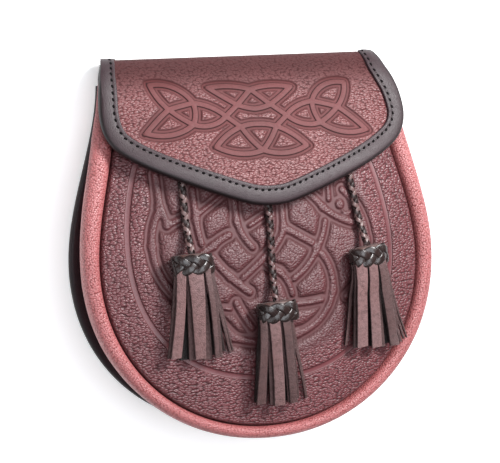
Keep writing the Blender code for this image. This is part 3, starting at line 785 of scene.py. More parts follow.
def leather(name, base, deep, pale, cell=(0.52, 0.70), depth=0.30, crease=0.16, rough=0.42,
            pore=0.06, carved=False, sheen=0.0, level=0.9, mottle=0.22, dark=0.8, regular=0.75,
            drift=0.7, worn_edge=None, top=0.0, tiny=None,
            smooth_rough=0.12, shade_rough=0.25, crack=0.22, fold=0.55, burnish_and_shade_tint=0.22):
    """Grained leather: domed pebbles parted by creases, with a fine pore pattern.

    The pebbles lie in the leather's own directions, the numbers across and
    along of each vertex, in millimetres. Carved leather reads three more: grain,
    how much of the pebbling is left; shade, painted shade, which on the flap's
    smooth bands also holds a little burnishing; and a mask of the tool's
    burnishing in its cut lines together with painted shade in the cut lines,
    channels and hollows.
    """
    g = Graph(name)
    at = g.millimetres()
    flat = g.node("ShaderNodeCombineXYZ", {"X": g.number("across"), "Y": g.number("along")})
    wander = g.noise(flat, 0.30, 2.0, out=1)
    wander = g.vector("SUBTRACT", wander, (0.5, 0.5, 0.5))
    wander = g.vector("MULTIPLY", wander, (drift * 2.0, drift * 2.0, 0.0))
    laid = g.vector("ADD", flat, wander)
    small = g.noise(at, 2.6, 2.0, 0.5)
    edge, dome, tone = g.pebbles(laid, cell, regular)
    folds = g.noise(g.vector("MULTIPLY", laid, (cell[0] * 1.1, cell[1] * 1.5, 0.0)), 1.0, 3.0, 0.55)
    height = g.math("ADD", g.math("MULTIPLY", g.span(edge, 0.0, crease), crack),
                    g.math("MULTIPLY", dome, 0.62))
    height = g.math("ADD", height, g.math("MULTIPLY", folds, fold))
    # the creases between the pebbles are painted darker: partly the grain's own darker creases, partly painted
    # shade in them
    crevice = g.math("SUBTRACT", 1.0, g.span(dome, 0.10, 0.62))
    crevice = g.math("MAXIMUM", crevice, g.span(folds, 0.46, 0.30, 0.0, 0.7))
    if tiny:
        part = g.number("tiny")
        _, dome2, _ = g.pebbles(laid, tiny, 0.9)
        height2 = g.math("ADD", g.math("MULTIPLY", dome2, 0.46), g.math("MULTIPLY", folds, 0.06))
        height = g.blend(part, height, height2)
        dome = g.blend(part, dome, dome2)
        crevice = g.math("MULTIPLY", crevice, g.math("SUBTRACT", 1.0, g.math("MULTIPLY", part, 0.6)))
    height = g.math("ADD", height, g.math("MULTIPLY", small, pore))
    share = 1.0
    if carved:
        share = g.number("grain")
        height = g.math("ADD", g.math("MULTIPLY", height, share), g.math("MULTIPLY", small, 0.05))
    bump = g.node("ShaderNodeBump", {"Strength": 1.0, "Distance": depth * MM, "Height": height})
    broad = g.noise(at, 0.045, 3.0)
    patch = g.noise(at, 0.35, 3.0)
    crevice = g.math("MULTIPLY", crevice, g.math("MULTIPLY", share, dark))
    colour = g.mix(g.span(patch, 0.35, 0.75, 0.0, mottle), base, pale)
    colour = g.mix(g.math("MULTIPLY", g.span(tone, 0.2, 1.0), mottle), colour, pale)
    colour = g.mix(g.span(broad, 0.35, 0.70, 0.0, mottle), colour, deep)
    # painted highlight: the domes of the pebbles are painted paler
    if top:
        colour = g.mix(g.math("MULTIPLY", g.span(dome, 0.55, 1.0), g.math("MULTIPLY", share, top)), colour, pale)
    colour = g.mix(crevice, colour, deep)
    gloss = g.math("ADD", g.math("MULTIPLY", crevice, 0.35), rough)
    gloss = g.math("ADD", gloss, g.math("MULTIPLY", g.math("SUBTRACT", patch, 0.5), 0.10))
    if carved:
        bare = g.math("SUBTRACT", 1.0, share)
        gloss = g.math("ADD", gloss, g.math("MULTIPLY", g.math("MULTIPLY", bare, bare), smooth_rough))
        # painted shade: the colour is darkened towards deep by the shade numbers, which on the flap's smooth bands
        # also hold a little burnishing
        shade = g.number("shade")
        colour = g.mix(shade, colour, deep)
        gloss = g.math("ADD", gloss, g.math("MULTIPLY", shade, shade_rough))
        # This mask darkens the colour towards a dark tint: the tool's burnishing on the cut walls, and painted
        # shade in the channels, over the pillows' flanks and on the turned edge.
        burnish_and_shade = g.number("burnish_and_shade")
        colour = g.mix(g.math("MULTIPLY", burnish_and_shade, 0.95, clamp=True), colour, tuple(c * burnish_and_shade_tint for c in deep))
        gloss = g.math("ADD", gloss, g.math("MULTIPLY", burnish_and_shade, 0.3), clamp=True)
    if worn_edge:
        colour = g.mix(g.number("rim"), colour, worn_edge)
    g.link(colour, g.bsdf.inputs["Base Color"])
    g.link(gloss, g.bsdf.inputs["Roughness"])
    g.bsdf.inputs["Specular IOR Level"].default_value = level
    g.bsdf.inputs["Sheen Weight"].default_value = sheen
    g.bsdf.inputs["Sheen Roughness"].default_value = 0.45
    g.link(bump, g.bsdf.inputs["Normal"])
    return g.mat


def plain_leather(name, base, deep, pale, rough=0.42, pores=0.05, scale=1.6, level=0.5, sheen=0.08,
                  coat=0.0, edge=None, tone=False):
    """Smooth leather with fine pores, a little wear and a paler rub."""
    g = Graph(name)
    at = g.millimetres()
    cell = g.node("ShaderNodeTexVoronoi", {"Vector": at, "Scale": scale, "Randomness": 1.0})
    small = g.noise(at, scale * 1.7, 4.0, 0.6)
    height = g.math("ADD", g.math("MULTIPLY", g.span(cell, 0.05, 0.75), 0.5), small)
    bump = g.node("ShaderNodeBump", {"Strength": 1.0, "Distance": pores * MM, "Height": height})
    broad, patch = g.noise(at, 0.05, 3.0), g.noise(at, 0.5, 4.0, 0.6)
    colour = g.mix(g.span(broad, 0.35, 0.7, 0.0, 0.45), base, pale)
    colour = g.mix(g.span(patch, 0.40, 0.75, 0.0, 0.45), colour, deep)
    colour = g.mix(g.span(small, 0.52, 0.75, 0.0, 0.35), colour, deep)
    # painted shade: strips with a low tone are painted darker, near black below 0.3, where they lie in the shade
    # of the strips above them
    if tone:
        share = g.number("tone")
        colour = g.mix(g.math("SUBTRACT", 1.0, share, clamp=True), colour, deep)
        colour = g.mix(g.math("MULTIPLY", g.span(share, 0.0, 0.3, 1.0, 0.0), 0.8), colour,
                       tuple(c * 0.25 for c in deep))
    if edge:
        rim = g.number("rim")
        colour = g.mix(rim, colour, edge)
    g.link(colour, g.bsdf.inputs["Base Color"])
    gloss = g.math("ADD", rough, g.math("MULTIPLY", g.math("SUBTRACT", patch, 0.5), 0.18))
    g.link(gloss, g.bsdf.inputs["Roughness"])
    g.bsdf.inputs["Specular IOR Level"].default_value = level
    g.bsdf.inputs["Sheen Weight"].default_value = sheen
    g.bsdf.inputs["Coat Weight"].default_value = coat
    g.bsdf.inputs["Coat Roughness"].default_value = 0.25
    g.link(bump, g.bsdf.inputs["Normal"])
    return g.mat


def thread_material(name, base, pale):
    g = Graph(name)
    at = g.millimetres((1.0, 1.0, 1.0))
    twist = g.node("ShaderNodeTexWave", {"Vector": at, "Scale": 2.4, "Distortion": 1.5, "Detail": 1.0},
                   out=1, bands_direction="DIAGONAL")
    bump = g.node("ShaderNodeBump", {"Strength": 1.0, "Distance": 0.06 * MM, "Height": twist})
    g.link(g.mix(g.math("MULTIPLY", twist, 0.5), base, pale), g.bsdf.inputs["Base Color"])
    g.bsdf.inputs["Roughness"].default_value = 0.85
    g.bsdf.inputs["Specular IOR Level"].default_value = 0.15
    g.link(bump, g.bsdf.inputs["Normal"])
    return g.mat


def metal_material(name):
    g = Graph(name)
    at = g.millimetres()
    brushed = g.noise(g.vector("MULTIPLY", at, (3.0, 3.0, 0.4)), 1.0, 3.0)
    wear = g.noise(at, 0.6, 4.0, 0.6)
    colour = g.mix(g.span(wear, 0.4, 0.7), srgb(196, 172, 120), srgb(120, 98, 62))
    g.link(colour, g.bsdf.inputs["Base Color"])
    g.bsdf.inputs["Metallic"].default_value = 1.0
    g.link(g.math("ADD", 0.24, g.math("MULTIPLY", wear, 0.22)), g.bsdf.inputs["Roughness"])
    bump = g.node("ShaderNodeBump", {"Strength": 0.5, "Distance": 0.03 * MM, "Height": brushed})
    g.link(bump, g.bsdf.inputs["Normal"])
    return g.mat


def floor_material():
    g = Graph("floor")
    at = g.node("ShaderNodeTexCoord", out=3)
    soft = g.noise(at, 6.0, 3.0)
    g.link(g.mix(g.span(soft, 0.3, 0.7, 0.0, 0.4), (0.86, 0.86, 0.86), (0.83, 0.83, 0.835)),
           g.bsdf.inputs["Base Color"])
    g.bsdf.inputs["Emission Color"].default_value = (1.0, 1.0, 1.0, 1.0)
    g.bsdf.inputs["Emission Strength"].default_value = 0.45
    g.bsdf.inputs["Roughness"].default_value = 0.9
    g.bsdf.inputs["Specular IOR Level"].default_value = 0.1
    return g.mat


M = {
    "panel": leather("panel_leather", srgb(99, 46, 50), srgb(40, 4, 6), srgb(118, 65, 70),
                     cell=(0.50, 0.86), tiny=(0.72, 0.90), depth=0.44, carved=True, top=0.25, dark=0.55,
                     rough=0.39, level=0.66, regular=0.95, drift=1.0, smooth_rough=0.06, shade_rough=0.30,
                     crack=0.14, fold=0.48, burnish_and_shade_tint=2.2),
    "flap": leather("flap_leather", srgb(102, 43, 44), srgb(44, 6, 7), srgb(121, 60, 62),
                    cell=(0.54, 1.00), depth=0.36, carved=True, top=0.3, dark=0.50, rough=0.42,
                    level=0.54, regular=0.9, drift=0.9, smooth_rough=0.20, shade_rough=0.60,
                    crack=0.06, fold=0.42, burnish_and_shade_tint=0.4),
    "gusset": leather("gusset_leather", srgb(160, 83, 82), srgb(98, 27, 26), srgb(188, 113, 116),
                      cell=(1.0, 1.05), depth=0.25, dark=0.45, regular=1.0, top=0.3, rough=0.38, level=0.8),
    "binding": leather("binding_leather", srgb(46, 26, 32), srgb(18, 8, 10), srgb(58, 37, 44),
                       cell=(1.9, 1.9), depth=0.05, rough=0.44, level=0.42, dark=0.35, regular=1.0,
                       worn_edge=srgb(14, 8, 8)),
    "back": leather("back_leather", srgb(44, 34, 35), srgb(20, 14, 15), srgb(58, 46, 48),
                    cell=(0.8, 1.0), depth=0.16, rough=0.46, level=0.4),
    "knot": plain_leather("knot_leather", srgb(33, 19, 17), srgb(10, 4, 4), srgb(52, 36, 34),
                          rough=0.27, pores=0.03, level=0.5),
    "core": plain_leather("core_leather", srgb(74, 46, 42), srgb(38, 22, 19), srgb(96, 66, 60), rough=0.5),
    "pale_lace": plain_leather("pale_lace_leather", srgb(98, 71, 69), srgb(64, 40, 38),
                               srgb(134, 110, 109), rough=0.40, pores=0.03),
    "mid_lace": plain_leather("mid_lace_leather", srgb(84, 52, 51), srgb(44, 23, 22),
                              srgb(106, 78, 78), rough=0.38, pores=0.03),
    "dark_lace": plain_leather("dark_lace_leather", srgb(38, 20, 19), srgb(14, 6, 6), srgb(56, 36, 35),
                               rough=0.42, pores=0.03, level=0.3),
    "strip": plain_leather("strip_leather", srgb(121, 88, 87), srgb(30, 8, 6), srgb(134, 106, 106),
                           rough=0.50, pores=0.26, scale=1.5, level=0.35, sheen=0.05, tone=True,
                           edge=srgb(18, 6, 5)),
    "thread": thread_material("thread", srgb(7, 4, 5), srgb(18, 13, 14)),
    "metal": metal_material("stud_metal"),
    "floor": floor_material(),
}


# =============================== cords ==============================================
def surface_frame(x, y, toward):
    """Normal of the panel at a point and a direction that lies in it."""
    e = 2.0
    dx = float(panel_z(x + e, y) - panel_z(x - e, y)) / (2 * e)
    dy = float(panel_z(x, y + e) - panel_z(x, y - e)) / (2 * e)
    up = Vector((-dx, -dy, 1)).normalized()
    run = Vector((toward[0], toward[1], 0))
    run = (run - up * run.dot(up)).normalized()
    return up, run, run.cross(up).normalized()


def cord_line(x0, y0, kx, ky, foot):
    """The route of a cord's CAD tube, from under the flap to its knot."""
    lift = CORD_D / 2 + GAP
    up, run, _ = surface_frame(kx, ky, (foot[0] - kx, foot[1] - ky))
    base = Vector((kx, ky, float(panel_z(kx, ky)))) + up * (KNOT_HALF_THICK + GAP)
    end = base - run * (KNOT_LENGTH / 2 + GAP)
    way = []
    for s in np.linspace(0, 1, 7)[:-1]:
        if s > 0.8:
            continue
        x, y = x0 + (end.x - x0) * s, y0 + (end.y - y0) * s
        way.append((x, y, float(panel_z(x, y)) + lift))
    rise = end - run * 5.0
    way.append((rise.x, rise.y, (rise.z + float(panel_z(rise.x, rise.y)) + lift) / 2 + 0.6))
    near = end - run * 1.4
    way.append(tuple(near))
    return np.vstack([smooth_rows(way, 3), [tuple(end)]]), up, run


def make_cord(name, who, x0, y0, kx, ky, foot, into=2.2):
    """Round braid of four laces: two turn one way and two the other, and each
    lies over one and under the next."""
    line, _, run = cord_line(x0, y0, kx, ky, foot)
    line = line - np.array((0, 0, 0.25))
    line = np.vstack([line, line[-1] + np.array(run) * into])
    line = even_points(line, 0.33)
    seg = np.linalg.norm(np.diff(line, axis=0), axis=1)
    length = seg.sum()
    at = np.concatenate([[0], np.cumsum(seg)])
    tan = np.gradient(line, axis=0)
    tan /= np.linalg.norm(tan, axis=1)[:, None]
    ups = np.array([tuple(surface_frame(p[0], p[1], (0, -1))[0]) for p in line])
    side = np.cross(ups, tan)
    side /= np.linalg.norm(side, axis=1)[:, None]
    side[side[:, 0] < 0] *= -1
    ups = np.cross(tan, side)
    ups[ups[:, 2] < 0] *= -1
    turn, wide, deep, over = 8.6, 1.50, 0.90, 0.24
    parts = []
    for k, (way, start) in enumerate(((1, 0.0), (1, math.pi), (-1, math.pi / 2), (-1, -math.pi / 2))):
        t = way * 2 * math.pi * at / turn + start
        lift = 1.0 + over * way * np.cos(2 * (t - math.pi / 4))
        c, d = np.cos(t), np.sin(t)
        path = line + side * (wide * lift * c)[:, None] + ups * (deep * lift * d)[:, None]
        ahead = np.gradient(path, axis=0)
        ahead /= np.linalg.norm(ahead, axis=1)[:, None]
        face = side * (c / wide)[:, None] + ups * (d / deep)[:, None]
        across = np.cross(face, ahead)
        across /= np.linalg.norm(across, axis=1)[:, None]
        face = np.cross(ahead, across)
        rings = []
        for p, a, f in zip(path, across, face):
            ring = []
            for j in range(8):
                u, v = math.cos((j + 0.5) * math.pi / 4), math.sin((j + 0.5) * math.pi / 4)
                u = math.copysign(abs(u) ** 0.7, u)
                ring.append(p + a * 0.98 * u + f * 0.32 * v)
            rings.append(ring)
        parts.append((rings, k % 2))
    dark = [(r, False, {}) for r, d in parts if d]
    pale = [(r, False, {}) for r, d in parts if not d]
    v1, f1, _ = bodies(dark)
    v2, f2, _ = bodies(pale)
    obj = piece(name, v1 + v2, f1 + [tuple(i + len(v1) for i in f) for f in f2], M["dark_lace"],
                replaces=["cord_" + who], smooth=60)
    obj.data.materials.append(M["mid_lace" if who == "centre" else "pale_lace"])
    for n, poly in enumerate(obj.data.polygons):
        poly.material_index = 0 if n < len(f1) else 1
    return obj, place(line), length * MM


# =============================== knots and tassels ==================================
def make_knot(name, node, kx, ky, foot):
    """Ring of plaited lace, three leads round and seven scallops."""
    up, run, side = surface_frame(kx, ky, (foot[0] - kx, foot[1] - ky))
    up, run, side = (np.array(v) for v in (up, run, side))
    centre = np.array((kx, ky, float(panel_z(kx, ky)))) + up * (KNOT_HALF_THICK + GAP)
    rx, rz = KNOT_HALF_WIDTH - 1.25, KNOT_HALF_THICK - 1.25

    def on_ring(a, s, r):
        c, d = math.cos(a), math.sin(a)
        c2, d2 = math.copysign(abs(c) ** 0.9, c), math.copysign(abs(d) ** 0.9, d)
        grow = 1.0 - 0.10 * min(1.0, abs(s) / 5.3) ** 2.2
        out = side * c / rx + up * d / rz
        out /= np.linalg.norm(out)
        return centre + run * s + (side * c2 * rx + up * d2 * rz) * grow + out * r, out

    # arc length round the ellipse, so that the scallops come out even
    fineness = np.linspace(0, 2 * math.pi, 721)
    pts = np.array([on_ring(a, 0, 0)[0] for a in fineness])
    run_len = np.concatenate([[0], np.cumsum(np.linalg.norm(np.diff(pts, axis=0), axis=1))])
    leads, scallops = 3, 7
    n = 420
    path, outs = [], []
    for i in range(n):
        th = 2 * math.pi * leads * i / n
        share = (th / (2 * math.pi)) % 1.0
        a = np.interp(share * run_len[-1], run_len, fineness)
        ph = scallops * th / leads
        s = 3.25 * math.cos(ph)
        r = 0.55 * math.sin(2 * ph)
        p, o = on_ring(a, s, r)
        path.append(p)
        outs.append(o)
    path, outs = np.array(path), np.array(outs)
    way = np.roll(path, -1, axis=0) - np.roll(path, 1, axis=0)
    way /= np.linalg.norm(way, axis=1)[:, None]
    across = np.cross(outs, way)
    across /= np.linalg.norm(across, axis=1)[:, None]
    face = np.cross(way, across)
    rings = []
    for p, a, f in zip(path, across, face):
        ring = []
        for j in range(14):
            t = 2 * math.pi * j / 14
            c, s = math.cos(t), math.sin(t)
            c, s = math.copysign(abs(c) ** 0.6, c), math.copysign(abs(s) ** 0.7, s)
            ring.append(p + a * 2.0 * c + f * 0.52 * s * (1.0 - 0.25 * c * c))
        rings.append(ring)
    verts, faces, _ = bodies([(rings, True, {})])
    knot = piece(name, verts, faces, M["knot"], replaces=[node], smooth=60)
    # the leather core that the lace is worked over
    core = []
    for s, shrink in ((-5.5, 0.62), (-5.4, 0.80), (-5.0, 0.87), (-4.2, 0.93), (-2.0, 0.95),
                      (2.0, 0.95), (4.3, 0.93), (4.5, 0.70)):
        ring = []
        for j in range(40):
            p, o = on_ring(2 * math.pi * j / 40, s, -0.55)
            ring.append(centre + run * s + (p - centre - run * s) * shrink)
        core.append(ring)
    verts, faces, _ = bodies([(core, False, {})])
    inner = piece(name + "_core", verts, faces, M["core"])
    return knot, inner


def make_tassel(name, who, kx, ky, fx, fy, seed):
    """Bundle of loose leather strips that lies on the panel."""
    rng = np.random.default_rng(seed)
    up, run, side = surface_frame(kx, ky, (fx - kx, fy - ky))
    start = Vector((kx, ky, float(panel_z(kx, ky)))) + up * (KNOT_HALF_THICK + GAP) + run * (KNOT_LENGTH / 2 + GAP)
    length = math.hypot(fx - start.x, fy - start.y)
    along = np.array(((fx - start.x) / length, (fy - start.y) / length))
    across = np.array((-along[1], along[0]))
    if across[0] * side[0] + across[1] * side[1] < 0:
        across = -across
    flip = 1.0 if across[0] > 0 else -1.0
    start, run, side, up = (np.array(v) for v in (start, run, side, up))
    parts = []
    for layer, t0, t1, f0, f1, reach, tone in STRIPS[who]:
        wave = rng.uniform(-1, 1, 4)
        thick, n = 1.35, 26
        high, low_end = STRIP_LAYERS[layer]
        rings, rims = [], []
        for i in range(n + 1):
            d = -3.0 + (reach + 3.0) * i / n
            share = max(0.0, d / length)
            mid = ((t0 + t1) + ((f0 + f1) - (t0 + t1)) * share) / 2 * flip
            half = ((t1 - t0) + ((f1 - f0) - (t1 - t0)) * share) / 2
            mid += 0.35 * wave[0] * math.sin(math.pi * share) * share
            laid = min(1.0, share / 0.30)
            laid_h = high + (low_end - high) * min(1.0, share) + 0.25 * wave[1] * share
            tilt = (0.10 * wave[2] + 0.015 * mid) * share
            ring, rim = [], []
            for a in range(12):
                ang = 2 * math.pi * (a + 0.5) / 12
                c, e = math.cos(ang), math.sin(ang)
                c = math.copysign(abs(c) ** 0.22, c)
                e = math.copysign(abs(e) ** 0.40, e)
                w = mid + half * c
                bow = math.sqrt(max(0.0, 1.0 - (w / 12.6) ** 2))
                held_h = (-0.4, 2.4 * bow, 4.75 * bow)[layer]
                held = start + run * d + side * w + up * (held_h + thick / 2 * (e - 1))
                x = start[0] + along[0] * d + across[0] * w
                y = start[1] + along[1] * d + across[1] * w
                ring.append((held, laid_h + thick / 2 * (e - 1) + tilt * half * c, x, y))
                rim.append(1.0 if abs(c) > 0.93 and abs(e) < 0.85 else 0.0)
            rings.append((ring, laid))
            rims.append(rim)
        flat = np.array([(q[2], q[3]) for ring, _ in rings for q in ring])
        base = support_z(flat[:, 0], flat[:, 1])
        out, k = [], 0
        for ring, laid in rings:
            pts = []
            for held, above, x, y in ring:
                rest = np.array((x, y, base[k] + above))
                p = held + (rest - held) * laid
                p[2] = max(p[2], base[k] + 0.42)
                pts.append(p)
                k += 1
            out.append(pts)
        rim = np.array(rims).reshape(-1)
        # tone is painted shade on each strip, from the table
        parts.append((out, False, {"tone": np.full(rim.shape, tone), "rim": np.clip(rim, 0, 0.75)}))
    verts, faces, values = bodies(parts)
    return piece(name, verts, faces, M["strip"], replaces=["tassel_" + who],
                 smooth=50, values=values)


# =============================== front panel ========================================
def panel_bands():
    bands = [(arc(x0, y0, x1, y1, bow), w, w) for x0, y0, x1, y1, bow, w in ROUNDEL]
    border = smooth_rows(BORDER, 8)
    return bands, [(border, BORDER_HALF, BORDER_HALF)]


def panel_relief(pts, bands, border):
    """Height above the plain panel, how much grain is there, and how dark the tool's burnishing and the painted
    shade make it.
    """
    e = nearest_band(pts, bands, 0.75)
    b = nearest_band(pts, border)
    c = ROUNDEL_CHANNEL
    floor = -1.0
    t = np.clip((e + 1.55) / 1.60, 0, 1)
    cord = floor + 1.14 * np.sqrt(np.clip(1 - t ** 2.2, 0, 1))
    u = np.clip((e - c) / 4.6, 0, 1)
    pillow = floor + 1.36 * (1 - (1 - u) ** 3.0)
    h = np.where(e < 0.05, cord, pillow)
    h = np.where(e > 5.5, ramp(e, 5.5, 12.0, floor + 1.36, 0.08), h)
    strip = ramp(b, -0.45, 0.25, -0.36, 0.0)
    h = np.minimum(h, np.where(b < 0.25, strip, 9.0))
    smooth = np.interp(e, (-0.6, 0.0, c, c + 0.5), (0.0, 1.0, 1.0, 0.0))
    smooth = np.where(e < 0.0, np.maximum(smooth, 0.25), smooth)
    smooth = np.maximum(smooth, np.where((b < 0.0), 1.0, 0.0))
    # darkening mask: the tool's burnishing on the cut walls, and painted shade at the pillows' feet, over their
    # flanks and along the border's channel
    burnish_and_shade = np.interp(e, (-0.45, -0.10, 0.10, 0.45, c - 0.40, c - 0.05, c + 0.40, c + 1.5),
                      (0.0, 0.45, 0.92, 0.22, 0.20, 0.94, 0.70, 0.0))
    burnish_and_shade = np.maximum(burnish_and_shade, np.interp(b, (-0.7, -0.25, 0.12, 0.5), (0.0, 0.22, 0.34, 0.0)))
    fine = inside(pts, smooth_rows(BORDER, 4)) * ramp(b, 7.5, 11.5, 0.0, 1.0)
    return h, 1.0 - smooth, burnish_and_shade, fine


def sealed(faces, verts):
    """Close the slivers that the triangulation leaves open in a tight corner."""
    bm = bmesh.new()
    for v in verts:
        bm.verts.new(tuple(float(c) for c in v))
    bm.verts.ensure_lookup_table()
    for f in faces:
        bm.faces.new([bm.verts[int(k)] for k in f])
    bm.verts.index_update()
    open_edges = [e for e in bm.edges if len(e.link_faces) == 1]
    corners = sorted({v.index for e in open_edges for v in e.verts})
    links = {k: [] for k in corners}
    for e in open_edges:
        a, b = e.verts[0].index, e.verts[1].index
        links[a].append(b)
        links[b].append(a)
    bm.free()
    extra = []
    for start in corners:
        while links[start]:
            walk = [start]
            here = links[start][0]
            links[start].remove(here)
            links[here].remove(start)
            while here not in walk:
                walk.append(here)
                if not links[here]:
                    break
                ahead = links[here][0]
                links[here].remove(ahead)
                links[ahead].remove(here)
                here = ahead
            if here in walk and here != start:
                tail = walk[walk.index(here):]
                if len(tail) >= 3:
                    extra.append(tuple(tail))
                rest = walk[:walk.index(here) + 1]
                for a, b in zip(rest, rest[1:]):
                    links[a].append(b)
                    links[b].append(a)
                continue
            if len(walk) >= 3:
                extra.append(tuple(walk))
    return faces + extra


def make_front_panel():
    bands, border = panel_bands()
    pts, out = seam_path(260, MOUTH_Y)
    mouth = [(x, MOUTH_Y) for x in np.linspace(pts[-1][0], pts[0][0], 70)[1:-1]]
    edge = np.vstack([pts, mouth])
    outs = np.vstack([out, [(0.0, 1.0)] * len(mouth)])
    k = len(pts) - 1
    outs[0], outs[k] = (-0.62, 0.78), (0.62, 0.78)
    inner = PANEL_EDGE[0][0]
    loop = edge - outs * inner
    fine = np.vstack([contours(bands, (-1.25, -0.75, -0.40, -0.15, 0.05, 0.30, 0.9, ROUNDEL_CHANNEL - 0.35, ROUNDEL_CHANNEL,
                                       ROUNDEL_CHANNEL + 0.3, ROUNDEL_CHANNEL + 0.8,
                                       ROUNDEL_CHANNEL + 1.6), 0.65),
                      contours(border, (-0.8, -0.25, 0.12, 0.5), 0.8)])
    fine = thin_out(fine, 0.22)
    grid = np.stack(np.meshgrid(np.arange(-62.0, 62.0, 0.85), np.arange(-56.0, 66.0, 0.85)), -1).reshape(-1, 2)
    grid[:, 0] += 0.42 * (np.round(grid[:, 1] / 0.85) % 2)
    grid = grid[inside(grid, smooth_rows(BORDER, 4)) & (np.abs(nearest_band(grid, bands)) < 8)]
    fine = thin_out(np.vstack([fine, grid]), 0.30)
    flat, tris, ring = fill_sheet(loop, fine, 1.45)
    h, grain, burnish_and_shade, tiny = panel_relief(flat, bands, border)
    edge_share = share_of_panel(flat[:, 0], flat[:, 1])
    h = h * ramp(edge_share, 0.97, 0.93, 0.0, 1.0)
    z = panel_z(flat[:, 0], flat[:, 1])
    verts = [(x, y, zz) for (x, y), zz in zip(flat, z + h)]
    faces = [tuple(t) for t in tris]
    grain, burnish_and_shade = list(grain), list(burnish_and_shade)
    laid = [tuple(p) for p in flat]
    n = len(loop)
    last = ring
    rim_base = panel_z(loop[:, 0], loop[:, 1])
    for inward, drop in PANEL_EDGE[1:]:
        rim = edge - outs * inward
        first = len(verts)
        for j in range(n):
            verts.append((rim[j][0], rim[j][1], rim_base[j] - drop - 0.12 * (inner - inward)))
            laid.append(tuple(rim[j] + outs[j] * drop))
            grain.append(1.0)
            # painted shade: the turned edge is painted darker as it drops towards the seam
            burnish_and_shade.append(float(np.interp(drop, (0.0, 1.0, 3.0), (0.0, 0.25, 0.6))))
        for j in range(n):
            a, b = last[j], last[(j + 1) % n]
            faces.append((a, b, first + (j + 1) % n, first + j))
        last = [first + j for j in range(n)]
    # the flesh side, a coarser sheet inside, joined to the turned edge
    t = 1.8
    back_loop = edge - outs * (inner - 0.3)
    back_flat, back_tris, back_ring = fill_sheet(back_loop[::2], [], 6.0)
    first = len(verts)
    bz = panel_z(back_flat[:, 0], back_flat[:, 1]) - t
    for (x, y), zz in zip(back_flat, bz):
        verts.append((x, y, zz))
        laid.append((x, y))
        grain.append(0.2)
        burnish_and_shade.append(0.0)
    faces += [(first + c, first + b, first + a) for a, b, c in back_tris]
    low = len(verts)
    rim = edge - outs * (GAP + t * 0.55)
    for j in range(0, n, 2):
        verts.append((rim[j][0], rim[j][1], rim_base[j] - 5.2 - 0.12 * inner))
        laid.append(tuple(rim[j]))
        grain.append(0.2)
        burnish_and_shade.append(0.0)
    m = len(range(0, n, 2))
    for j in range(m):
        a, b = first + back_ring[j], first + back_ring[(j + 1) % m]
        faces.append((a, low + j, low + (j + 1) % m, b))
        c0, c1, c2 = last[2 * j], last[(2 * j + 1) % n], last[(2 * j + 2) % n]
        faces.append((low + j, c0, c1))
        faces.append((low + j, c1, low + (j + 1) % m))
        faces.append((low + (j + 1) % m, c1, c2))
    return piece("front_panel_leather", verts, sealed(faces, verts), M["panel"],
                 replaces=["front_panel"], smooth=0,
                 values={"grain": grain, "burnish_and_shade": burnish_and_shade, "across": [p[0] for p in laid],
                         "along": [p[1] for p in laid],
                         "tiny": np.concatenate([tiny, np.zeros(len(verts) - len(tiny))]),
                         # painted shade: the whole roundel is painted darker, for the shade of the flap and
                         # tassels over it
                         "shade": np.concatenate([0.36 * tiny, np.zeros(len(verts) - len(tiny))])})


# =============================== flap ===============================================
class Flap:
    """The flap's outer face by distance across and along the leather."""

    def __init__(self):
        rows = smooth_rows(FLAP_ROWS[::-1], 6)
        run = np.concatenate([[0], np.cumsum(np.hypot(np.diff(rows[:, 0]), np.diff(rows[:, 1])))])
        self.rows, self.run = rows, run

    def width(self, s):
        return np.interp(s, self.run, self.rows[:, 2])

    def at(self, x, s):
        y, z, droop = (np.interp(s, self.run, self.rows[:, k]) for k in (0, 1, 3))
        lean = np.interp(y, [r[0] for r in FLAP_LEAN], [r[1] for r in FLAP_LEAN])
        lean = lean * ramp(z, 3.0, 9.0, 0.0, 1.0)
        return np.stack([x - lean, y, z - droop * (x / DROOP_X) ** 2], -1)

    def normal(self, x, s):
        e = 0.8
        along = self.at(x, s - e) - self.at(x, s + e)
        across = self.at(x + e, s) - self.at(x - e, s)
        n = np.cross(along, across)
        return n / np.linalg.norm(n, axis=-1)[..., None]


def flap_bands():
    bands = []
    for side in (1, -1):
        def turn(line):
            x = KNOT_MIDDLE_X + side * line[:, 0]
            return np.stack([x, line[:, 1] - KNOT_TILT * side * line[:, 0]], 1)
        for a, b, bow in KNOT_BANDS:
            line = arc(*KNOT_POINTS[a], *KNOT_POINTS[b], bow)
            bands.append((turn(line), KNOT_HALF, KNOT_HALF))
        for a, du, dv in KNOT_POINTS_OUT:
            u, v = KNOT_POINTS[a]
            bands.append((turn(arc(u, v, u + du, v + dv, 0.0, 0.5)), KNOT_HALF, 0.15))
    return bands


def flap_relief(pts, bands):
    e = nearest_band(pts, bands)
    c = KNOT_CHANNEL
    floor = -0.46
    ridge = ramp(e, -1.4, -0.1, 0.16, 0.0)
    wall = ramp(e, -0.12, 0.14, 0.0, floor)
    slope = ramp(e, 0.14, c - 0.16, floor, floor + 0.08)
    back = ramp(e, c - 0.16, c + 0.10, floor + 0.08, 0.02)
    h = np.where(e < -0.12, ridge, np.where(e < 0.14, wall, np.where(e < c - 0.16, slope, back)))
    h = np.where(e > c + 0.10, ramp(e, c + 0.10, c + 2.5, 0.02, 0.06), h)
    grain = np.where(e < -0.1, 0.10, np.where(e < c, 0.06, ramp(e, c, c + 1.2, 0.40, 1.0)))
    # darkening mask: the cut line at the ridge's wall is the tool's burnishing together with painted shade in the
    # cut; the darkening on the channel's outer slope is painted shade over a slope that catches the light
    burnish_and_shade = np.interp(e, (-0.30, -0.12, 0.14, 0.38, 0.7, c - 0.4, c - 0.16, c + 0.10, c + 0.5),
                      (0.0, 0.75, 1.0, 0.30, 0.08, 0.08, 0.50, 0.40, 0.0))
    return h, grain, burnish_and_shade


FLAP = Flap()


